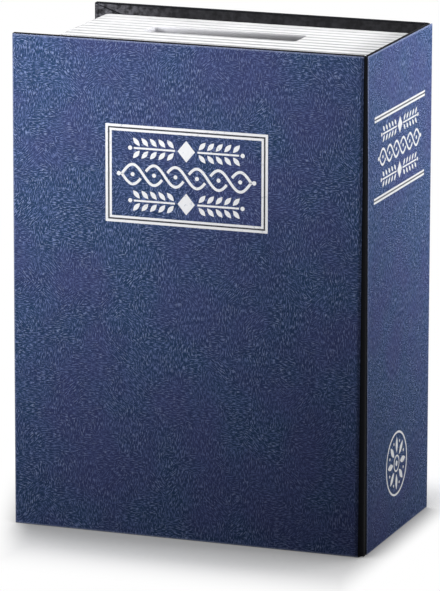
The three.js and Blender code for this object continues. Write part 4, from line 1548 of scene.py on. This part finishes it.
def make_screw(looks):
    """The cam's screw, its domed head with a cross recess."""
    low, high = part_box("cam_screw")
    head, shank = (high.x - low.x) / 2, looks.screw_radius
    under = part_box("lock_cam")[1].y
    dome = high.y - under
    profile = [(0, low.y), (shank, low.y), (shank, under), (head, under), (head, under + dome * 0.4)]
    profile += [(head * 0.86, under + dome * 0.75), (head * 0.55, under + dome * 0.95), (0, high.y)]
    screw = lock_piece("cam_screw", profile, 40)
    base = lock_axis() + DEEP * (high.y - dome * 0.6)
    long, short = head * 0.62, head * 0.13
    tools = []
    for reach in (Vector((long, 0, short)), Vector((short, 0, long))):
        tools.append(add_piece("recess", block(base - reach, base + reach + DEEP * MM), "zinc_plate"))
    seat(carve(screw, *tools), "lock_works", "plated_steel", "cam_screw")


class BOOKSAFE_OT_lock(bpy.types.Operator):
    """Turn and file the cam lock's pieces"""

    bl_idname = "book_safe.lock"
    bl_label = "Cam lock"

    def execute(self, context):
        looks = context.scene.book_safe_metal
        for make in (make_barrel, make_washer, make_nut, make_plug, make_cam, make_screw):
            make(looks)
        return {"FINISHED"}


# Stage


def lamp(name, kind, place, aim, power, **settings):
    """A soft lamp at a place in millimetres, turned to another."""
    light = bpy.data.lights.new(name, kind)
    light.energy = power
    for key, value in settings.items():
        setattr(light, key, value)
    made = bpy.data.objects.new(name, light)
    bpy.context.scene.collection.objects.link(made)
    made.location = Vector(place) * MM
    made.rotation_mode = "QUATERNION"
    made.rotation_quaternion = (Vector(aim) - Vector(place)).to_track_quat("-Z", "Y")
    made.visible_camera = False


def shown_rays(paint):
    """1 for the rays that show the backdrop: to the camera, and by mirror or glass."""
    names = ("Is Camera Ray", "Is Glossy Ray", "Is Transmission Ray")
    camera, glossy, through = (paint.node("ShaderNodeLightPath", output=name) for name in names)
    return (camera + glossy + through).smaller(1)


def pale_floor(paint, looks):
    """A pale floor that keeps the book's shadow and fades to plain white away from it."""
    x, y = paint.parts(paint.place)[:2]
    spine, back = CAD_BOX[1].x / MM, CAD_BOX[1].y / MM
    by_spine = paint.ease(x, spine - looks.spine_start / MM, spine + looks.spine_fade / MM)
    slanted = x * math.cos(looks.shadow_slant) + y * math.sin(looks.shadow_slant)
    start = -looks.fore_start / MM
    by_fore_edge = paint.ease(slanted, start, start + looks.fore_fade / MM, 1, 0)
    before = paint.ease(abs(y), back + looks.front_start / MM, back + looks.front_fade / MM)
    away = by_spine.larger(by_fore_edge).larger(before)
    reach = {"Distance": looks.shadow_reach}
    clear = paint.node("ShaderNodeAmbientOcclusion", {"samples": 12}, reach, "AO")
    tint = paint.mix(paint.ease(clear, 0.5, 1.0, looks.shadow_share, 1), (0, 0, 0), looks.pale)
    sockets = {"Base Color": tint, "Roughness": 1.0, "Specular IOR Level": 0.0}
    sockets |= {"Emission Color": tint, "Emission Strength": 0.5}
    shaded = paint.node("ShaderNodeBsdfPrincipled", None, sockets)
    white = paint.node("ShaderNodeEmission", None, {"Color": (1, 1, 1, 1), "Strength": 1})
    seen = paint.node("ShaderNodeMixShader", None, {0: away, 1: shaded, 2: white})
    dull = paint.node("ShaderNodeBsdfDiffuse", None, {"Color": (0.08, 0.08, 0.08, 1)})
    return paint.end(paint.node("ShaderNodeMixShader", None, {0: shown_rays(paint), 1: dull, 2: seen}))


def plain_sky(paint, looks):
    """A sky that looks white and lights the book faintly from all round."""
    faint, white = (
        paint.node("ShaderNodeBackground", None, {"Color": (1, 1, 1, 1), "Strength": strength})
        for strength in (looks.ambient, 1)
    )
    sky = paint.node("ShaderNodeMixShader", None, {0: shown_rays(paint), 1: faint, 2: white})
    return paint.end(sky, "World")


def photo_camera(looks):
    """A camera at the photograph's angle, roll, distance and framing."""
    turn, rise, roll = looks.azimuth, looks.elevation, looks.roll
    level_out = Vector((math.sin(turn), -math.cos(turn), 0))
    back = level_out * math.cos(rise) + UP * math.sin(rise)
    level = (-back).cross(UP).normalized()
    above = level.cross(-back)
    right = level * math.cos(roll) + above * math.sin(roll)
    up = above * math.cos(roll) - level * math.sin(roll)
    place = Vector((looks.target_x, 0, looks.target_z)) + back * looks.distance
    camera = bpy.data.objects.new("camera", bpy.data.cameras.new("camera"))
    bpy.context.scene.collection.objects.link(camera)
    camera.matrix_world = Matrix.Translation(place) @ Matrix((right, up, back)).transposed().to_4x4()
    side_px = max(PHOTO_WIDTH_PX, PHOTO_HEIGHT_PX)
    camera.data.sensor_width = SENSOR_MM
    camera.data.lens = FOCAL_LENGTH_PX / side_px * SENSOR_MM
    camera.data.shift_x = (PHOTO_WIDTH_PX / 2 - AXIS_X_PX) / side_px
    camera.data.shift_y = (AXIS_Y_PX - PHOTO_HEIGHT_PX / 2) / side_px
    camera.data.clip_start = looks.distance * 0.05
    camera.data.clip_end = looks.distance * 20
    return camera


def wide_floor(looks):
    """A floor slab just under the book, its sizes in metres."""
    reach, thickness, hair = 3, 0.01, 0.01 * MM
    made = block(Vector((-reach, -reach, -thickness)), Vector((reach, reach, -hair)))
    floor = bpy.data.objects.new("floor", bpy.data.meshes.new("floor"))
    made.to_mesh(floor.data)
    made.free()
    floor.data.materials.append(pale_floor(Paint(bpy.data.materials.new("pale_floor")), looks))
    return floor


class BOOKSAFE_OT_stage(bpy.types.Operator):
    """Set the camera, the pale floor and the soft lamps"""

    bl_idname = "book_safe.stage"
    bl_label = "Stage"

    def execute(self, context):
        scene = context.scene
        looks = scene.book_safe_stage
        scene.camera = photo_camera(looks)
        floor = wide_floor(looks)
        scene.collection.objects.link(floor)
        soft = {"spot_size": looks.spot_angle, "spot_blend": 1.0, "shadow_soft_size": looks.spot_radius}
        lamp("key_lamp", "SPOT", (-260, -470, 230), (-170, -23, 247), 19.9, **soft)
        lamp("spine_lamp", "SPOT", (520, 60, 250), (42, 130, 250), 18.2, **soft)
        lamp("back_lamp", "AREA", (-160, 620, 60), (0, 23, 50), 2.4, size=0.12)
        long = {"shape": "RECTANGLE", "size": 0.05, "size_y": 0.2}
        lamp("top_lamp", "AREA", (0, 20, 560), (0, 20, 0), 1.2, **long)
        scene.world = plain_sky(Paint(bpy.data.worlds.new("sky")), looks)
        scene.view_settings.view_transform = "Standard"
        return {"FINISHED"}


OPERATORS = (
    BOOKSAFE_OT_stage,
    BOOKSAFE_OT_covers,
    BOOKSAFE_OT_blue_sheets,
    BOOKSAFE_OT_tooling,
    BOOKSAFE_OT_pages,
    BOOKSAFE_OT_steel_box,
    BOOKSAFE_OT_rivets,
    BOOKSAFE_OT_hinge,
    BOOKSAFE_OT_lock,
)


class BOOKSAFE_PT_panel(bpy.types.Panel):
    """Lists the safe's steps and their sizes"""

    bl_idname = "BOOKSAFE_PT_panel"
    bl_label = "Book safe"
    bl_space_type = "VIEW_3D"
    bl_region_type = "UI"
    bl_category = "Book safe"

    def draw(self, context):
        for operator in OPERATORS:
            self.layout.operator(operator.bl_idname)
        for name in GROUPS:
            group = getattr(context.scene, name)
            for key in group.__annotations__:
                self.layout.prop(group, key)


def register():
    """Adds the sizes, the steps and the panel to Blender."""
    for group in GROUPS.values():
        bpy.utils.register_class(group)
    for name, group in GROUPS.items():
        setattr(bpy.types.Scene, name, PointerProperty(type=group))
    for operator in OPERATORS:
        bpy.utils.register_class(operator)
    bpy.utils.register_class(BOOKSAFE_PT_panel)


def unregister():
    """Takes the panel, the steps and the sizes out of Blender again."""
    bpy.utils.unregister_class(BOOKSAFE_PT_panel)
    for operator in reversed(OPERATORS):
        bpy.utils.unregister_class(operator)
    for name in GROUPS:
        delattr(bpy.types.Scene, name)
    for group in GROUPS.values():
        bpy.utils.unregister_class(group)


def main():
    """Registers the add-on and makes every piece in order."""
    register()
    for operator in OPERATORS:
        group, name = operator.bl_idname.split(".")
        getattr(getattr(bpy.ops, group), name)()


if __name__ == "__main__":
    main()
